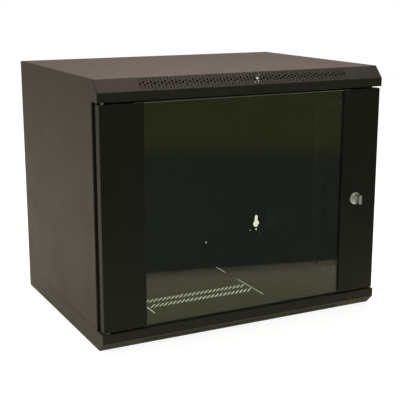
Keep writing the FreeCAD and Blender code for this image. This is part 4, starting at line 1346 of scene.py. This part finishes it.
class CABINET_OT_hinge(bpy.types.Operator):
    """Turn the lower pin and its washer; bend the plunger, its guide and its spring"""

    bl_idname = "cabinet.hinge"
    bl_label = "Hinge"

    def execute(self, context):
        sheet, fittings = context.scene.cabinet_sheet, context.scene.cabinet_fittings
        pin, tip = fittings.pin, pin_high.z - pin_low.z
        head = 1.5 * MM
        neck = base_high_edge(sheet) - pin_low.z
        lower = turned(
            "hinge_pin_lower_turned",
            pivot + UP * pin_low.z,
            UP,
            [
                (4.6 * MM, 0.0),
                (5.5 * MM, 0.4 * head),
                (5.5 * MM, head),
                (pin, head),
                (pin, neck + 0.05 * MM),
                (5 * MM, neck + 0.05 * MM),
                (5 * MM, neck + 1.05 * MM),
                (pin, neck + 1.05 * MM),
                (pin, tip - 0.8 * MM),
                (pin - 0.8 * MM, tip),
            ],
        )
        settle(lower, "cabinet", "hinge_pin_lower")
        low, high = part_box("hinge_washer")
        washer = turned(
            "hinge_washer_moulded",
            pivot + UP * low.z,
            UP,
            [
                (5.2 * MM, 0.0),
                (5.5 * MM, 0.3 * MM),
                (5.5 * MM, high.z - low.z - 0.3 * MM),
                (5.2 * MM, high.z - low.z),
            ],
        )
        bore = pin + fittings.running
        punch(washer, rod("bore", pivot + UP * (low.z - MM), pivot + UP * (high.z + MM), bore, 48))
        settle(washer, "cabinet", "hinge_washer")
        self.plunger(pin)
        self.guide(sheet, fittings)
        self.spring()
        return {"FINISHED"}

    def plunger(self, pin):
        """Upper pin with a rounded nose, a collar for the spring and a bent arm to draw it down."""
        foot, bend, arm, lean = plunger_low.z + pin, 6 * MM, 27 * MM, radians(40)
        nose = 1.2 * MM
        deselect()
        bpy.ops.mesh.primitive_circle_add(
            vertices=32, radius=pin - nose, fill_type="NGON", location=(0, 0, plunger_high.z)
        )
        piece = named("plunger")
        edit(piece, "FACE")
        bpy.ops.mesh.select_all(action="SELECT")
        for radius, height in ((pin - nose / 3, plunger_high.z - nose / 3), (pin, plunger_high.z - nose)):
            self.lengthen(piece, radius, height)
        bpy.ops.mesh.extrude_region_move(
            TRANSFORM_OT_translate={"value": (0, 0, foot + bend - plunger_high.z + nose)}
        )
        bpy.ops.mesh.spin(steps=10, angle=pi / 2, center=(bend, 0, foot + bend), axis=(0, 1, 0))
        bpy.ops.mesh.extrude_region_move(TRANSFORM_OT_translate={"value": (arm - bend, 0, 0)})
        outward()
        piece.rotation_euler.z = lean
        piece.location = pivot
        bpy.ops.object.transform_apply(location=True, rotation=True, scale=True)
        top = spring_high.z + 0.1 * MM
        collar = turned(
            "collar",
            pivot + UP * top,
            UP,
            [(4.9 * MM, 0.0), (5.2 * MM, 0.3 * MM), (5.2 * MM, 1.9 * MM), (4.9 * MM, 2.2 * MM)],
        )
        settle(join("hinge_plunger_bent", [piece, collar]), "hinge_plunger", "hinge_plunger")

    def lengthen(self, piece, radius, height):
        """Extrudes the open end to a height and gives it a radius."""
        end = [v.co for v in bmesh.from_edit_mesh(piece.data).verts if v.select]
        scale = radius / hypot(end[0].x, end[0].y)
        bpy.ops.mesh.extrude_region_move(TRANSFORM_OT_translate={"value": (0, 0, height - end[0].z)})
        bpy.ops.transform.resize(value=(scale, scale, 1), center_override=(0, 0, height))

    def guide(self, sheet, fittings):
        """Bored angle inside the left strip that keeps the plunger upright."""
        low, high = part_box("plunger_guide")
        path = [(high.x, low.y, high.z), (low.x, low.y, high.z), low]
        span = BACKWARD * (high.y - low.y)
        guide = folded_sheet(
            "plunger_guide_folded", path, span, fittings.thickness, sheet.fold_radius, 0.0, 1
        )
        bore = fittings.pin + fittings.play
        punch(guide, rod("bore", pivot + UP * (high.z - 4 * MM), pivot + UP * (high.z + MM), bore, 32))
        soften(guide, fittings.rim, 1)
        settle(guide, "door", "plunger_guide")

    def spring(self):
        """Round wire wound with closed end coils between the guide and the collar; it is wound at one length
        and does not shorten with the plunger.
        """
        half_wire, radius = 0.6 * MM, 4.4 * MM
        turns, steps = 7, 20
        deselect()
        bpy.ops.mesh.primitive_circle_add(
            vertices=8,
            radius=half_wire,
            fill_type="NGON",
            location=(radius, 0, spring_low.z + half_wire),
            rotation=(pi / 2, 0, 0),
        )
        piece = named("plunger_spring_wound")
        edit(piece, "FACE")
        bpy.ops.mesh.select_all(action="SELECT")
        closed = 2.1 * half_wire
        open_rise = (spring_high.z - spring_low.z - 2 * half_wire - 2 * closed) / (turns - 2)
        for step in range(turns * steps):
            rise = closed if step < steps or step >= (turns - 1) * steps else open_rise
            bpy.ops.mesh.extrude_region_move(TRANSFORM_OT_translate={"value": (0, 0, rise / steps)})
            bpy.ops.transform.rotate(value=2 * pi / steps, orient_axis="Z", center_override=(0, 0, 0))
        outward()
        piece.location = pivot
        bpy.ops.object.transform_apply(location=True, rotation=True, scale=True)
        settle(piece, None, "plunger_spring")
        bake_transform(piece)


class CABINET_OT_hardware(bpy.types.Operator):
    """Mould the door's buffers and turn the earth stud with its nuts"""

    bl_idname = "cabinet.hardware"
    bl_label = "Buffers and earth stud"

    def execute(self, context):
        fittings = context.scene.cabinet_fittings
        x, face = (buffer_low.x + buffer_high.x) / 2, panel_low.y + 27.9 * MM
        height = face - buffer_low.y
        pads = []
        for z in buffer_rows():
            pad = turned(
                "pad",
                (x, face, z),
                FORWARD,
                [
                    (5.4 * MM, 0.0),
                    (5.4 * MM, height - 1.5 * MM),
                    (4.9 * MM, height - 0.5 * MM),
                    (3.8 * MM, height - 0.1 * MM),
                    (2 * MM, height),
                ],
                32,
            )
            pads += [pad, rod("stem", (x, face - MM, z), (x, buffer_high.y, z), 1.9 * MM, 24)]
        settle(join("door_buffers_moulded", pads), "cabinet", "door_buffers")
        low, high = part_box("earth_stud")
        foot = (low + high) / 2
        foot.z = low.z
        flange = turned("flange", foot, UP, [(6 * MM, 0.0), (6 * MM, 0.8 * MM), (5.8 * MM, MM)], 32)
        shank = threaded(
            "shank", foot + UP * 0.9 * MM, UP, fittings.bolt, high.z - low.z - 0.9 * MM, fittings.pitch
        )
        settle(join("earth_stud_turned", [flange, shank]), "cabinet", "earth_stud")
        level = foot + UP * (MM + fittings.play)
        washer = turned(
            "washer", level, UP, [(6.8 * MM, 0.0), (7 * MM, 0.2 * MM), (7 * MM, 0.8 * MM), (6.8 * MM, MM)]
        )
        thread = fittings.bolt + fittings.play
        punch(washer, rod("bore", level - UP * MM, level + UP * 2 * MM, thread, 24))
        pieces = [washer]
        for count in range(2):
            start = level + UP * (MM + fittings.play + count * (fittings.nut + fittings.play))
            pieces.append(nut("nut", start, UP, fittings.bolt_flats, fittings.nut, thread))
        settle(join("earth_nuts_turned", pieces), "cabinet", "earth_nuts")
        return {"FINISHED"}


class CABINET_OT_stage(bpy.types.Operator):
    """Set the floor, the studio light and the camera"""

    bl_idname = "cabinet.stage"
    bl_label = "Stage"

    def execute(self, context):
        lay_floor()
        light_world(context.scene)
        hang_lamps()
        place_camera(context.scene)
        context.scene.view_settings.view_transform = "Standard"
        return {"FINISHED"}


# ---- stage ---------------------------------------------------------------------------------------
PAPER_EDGE = -0.62  # metres in front of the cabinet's middle
# The dimming from here to the edge is painted shade in the paper's glow, not the falloff of any lamp.
PAPER_DIM = -0.54  # where the mirrored paper begins to dim towards its edge
PAPER_SKEW = 0.25  # rise of the front edge per metre to the right


def seen_rays(tree):
    """1 for rays that show a thing as it is: from the camera, in a mirror and through glass."""
    ray = add_node(tree, "ShaderNodeLightPath").outputs
    direct = maths(tree, "MAXIMUM", ray["Is Camera Ray"], ray["Is Glossy Ray"])
    return maths(tree, "MAXIMUM", direct, ray["Is Transmission Ray"])


def mirrored_rays(tree):
    """1 for rays that a surface mirrors; rays through glass count as glossy too, so they are taken off."""
    ray = add_node(tree, "ShaderNodeLightPath").outputs
    return maths(tree, "SUBTRACT", ray["Is Glossy Ray"], ray["Is Transmission Ray"], use_clamp=True)


def lay_floor():
    """Pale paper floor: white to the eye but for the object's shadow. Its front edge lies close to
    the door and a little askew, where the paper ends, so the pane mirrors it low down only."""
    deselect()
    bpy.ops.mesh.primitive_plane_add(size=8, location=(0, 0, -MM))
    floor = named("paper_floor")
    mesh = edit(floor, "VERT")
    for vertex in mesh.verts:
        if vertex.co.y < 0:
            vertex.co.y = PAPER_EDGE + PAPER_SKEW * vertex.co.x
    bmesh.update_edit_mesh(floor.data)
    bpy.ops.object.mode_set(mode="OBJECT")
    material, tree, place = new_material("matt paper")
    tone = mix(tree, noise(tree, place, 6 * MM), *shades(linear("9C9C98"), 0.03))
    paper = add_node(tree, "ShaderNodeBsdfDiffuse", {"Color": tone}).outputs["BSDF"]
    split = add_node(tree, "ShaderNodeSeparateXYZ", {"Vector": place}).outputs
    # Mirrored in the pane, or seen out through it in front of the door, the paper's glow is tinted and dims
    # towards its front edge: painted shade, as if the light fell off there.
    ahead = maths(tree, "LESS_THAN", split["Y"], base_low.y - 5 * MM)
    ray = add_node(tree, "ShaderNodeLightPath").outputs
    outside = maths(tree, "MULTIPLY", ahead, ray["Is Transmission Ray"])
    tinted = maths(tree, "MAXIMUM", outside, mirrored_rays(tree))
    askew = maths(tree, "MULTIPLY_ADD", split["X"], -PAPER_SKEW, split["Y"])
    painted_falloff = ramp(tree, askew, PAPER_EDGE, PAPER_DIM, interpolation="SMOOTHSTEP")
    # Painted shade: the glow goes from a pale tint to a dark olive towards the paper's front edge.
    warm = mix(tree, painted_falloff, linear("6E6C5A"), linear("D2D0A9"))
    shown = mix(tree, tinted, linear("FFFFFF"), warm)
    glow = add_node(tree, "ShaderNodeEmission", {"Color": shown, "Strength": 0.9}).outputs["Emission"]
    white = add_node(tree, "ShaderNodeAddShader", {0: paper, 1: glow}).outputs["Shader"]
    inputs = {0: seen_rays(tree), 1: paper, 2: white}
    floor.data.materials.append(surfaced(material, add_node(tree, "ShaderNodeMixShader", inputs)))


def light_world(scene):
    """White background behind and above; the room in front is dim."""
    world = bpy.data.worlds.new("studio")
    world.use_nodes = True
    scene.world = world
    tree = world.node_tree
    tree.nodes.clear()
    way = add_node(tree, "ShaderNodeTexCoord").outputs["Generated"]
    split = add_node(tree, "ShaderNodeSeparateXYZ", {"Vector": way}).outputs
    behind = ramp(tree, split["Y"], -0.15, 0.25, interpolation="SMOOTHSTEP")
    above = ramp(tree, split["Z"], 0.35, 0.75, interpolation="SMOOTHSTEP")
    horizon = ramp(tree, split["Z"], -0.185, -0.165)
    room = mix(tree, horizon, linear("6F776D"), linear("909468"))
    backdrop = mix(tree, mirrored_rays(tree), linear("FFFFFF"), linear("877A6B"))
    around = mix(tree, maths(tree, "MAXIMUM", behind, above), room, backdrop)
    camera_ray = add_node(tree, "ShaderNodeLightPath").outputs["Is Camera Ray"]
    direct = mix(tree, camera_ray, around, linear("FFFFFF"))
    shown = add_node(tree, "ShaderNodeBackground", {"Color": direct, "Strength": 1.0}).outputs[0]
    fill = add_node(tree, "ShaderNodeBackground", {"Color": around, "Strength": 0.3}).outputs[0]
    surface = add_node(tree, "ShaderNodeMixShader", {0: seen_rays(tree), 1: fill, 2: shown})
    add_node(tree, "ShaderNodeOutputWorld", {"Surface": surface.outputs[0]})


def hang_lamps():
    """Softboxes above and on the left, slightly warm, and a weak white one in front."""
    for name, place, size, power, colour in (
        ("overhead softbox", (0.5, 0.7, 2.3), 1.6, 69.0, "FFE8DF"),
        ("left softbox", (-2.3, 0.5, 1.1), 1.4, 25.0, "FFE4E6"),
        ("front softbox", (0.5, -2.3, 1.9), 0.7, 5.5, "F4FFF8"),
    ):
        aim = Vector((0, 0, 0.2)) - Vector(place)
        deselect()
        bpy.ops.object.light_add(
            type="AREA", location=place, rotation=aim.to_track_quat("-Z", "Y").to_euler()
        )
        lamp = bpy.context.object
        lamp.name = name
        lamp.data.size = size
        lamp.data.energy = power
        lamp.data.color = linear(colour)[:3]


def place_camera(scene):
    deselect()
    bpy.ops.object.camera_add(
        location=(-0.8478, -1.6924, 0.6532), rotation=(radians(90 - 13.22), 0, radians(-26.89))
    )
    camera = bpy.context.object
    camera.data.lens = 82.8
    scene.camera = camera


# ---- panel and registration ------------------------------------------------------------------------
class CABINET_PT_panel(bpy.types.Panel):
    """Steps of the cabinet, in order"""

    bl_idname = "CABINET_PT_panel"
    bl_label = "Network Cabinet"
    bl_space_type = "VIEW_3D"
    bl_region_type = "UI"
    bl_category = "Cabinet"

    def draw(self, context):
        for step in steps:
            self.layout.operator(step.bl_idname)
        for group in groups:
            settings = getattr(context.scene, group)
            box = self.layout.box()
            for name in settings.__annotations__:
                box.prop(settings, name)


steps = [
    CABINET_OT_finishes,
    CABINET_OT_roof,
    CABINET_OT_base,
    CABINET_OT_sides,
    CABINET_OT_back,
    CABINET_OT_strips,
    CABINET_OT_glass,
    CABINET_OT_lock,
    CABINET_OT_rails,
    CABINET_OT_bars,
    CABINET_OT_clamps,
    CABINET_OT_hinge,
    CABINET_OT_hardware,
    CABINET_OT_stage,
]
groups = {
    "cabinet_sheet": CabinetSheet,
    "cabinet_perforation": CabinetPerforation,
    "cabinet_floor": CabinetFloor,
    "cabinet_wall_holes": CabinetWallHoles,
    "cabinet_fittings": CabinetFittings,
    "cabinet_lock": CabinetLock,
    "cabinet_colours": CabinetColours,
}


def register():
    for group in groups.values():
        bpy.utils.register_class(group)
    for name, group in groups.items():
        setattr(bpy.types.Scene, name, bpy.props.PointerProperty(type=group))
    for step in steps:
        bpy.utils.register_class(step)
    bpy.utils.register_class(CABINET_PT_panel)


def unregister():
    bpy.utils.unregister_class(CABINET_PT_panel)
    for step in reversed(steps):
        bpy.utils.unregister_class(step)
    for name, group in groups.items():
        delattr(bpy.types.Scene, name)
        bpy.utils.unregister_class(group)


def main():
    register()
    for step in steps:
        section, name = step.bl_idname.split(".")
        getattr(getattr(bpy.ops, section), name)()


if __name__ == "__main__":
    main()
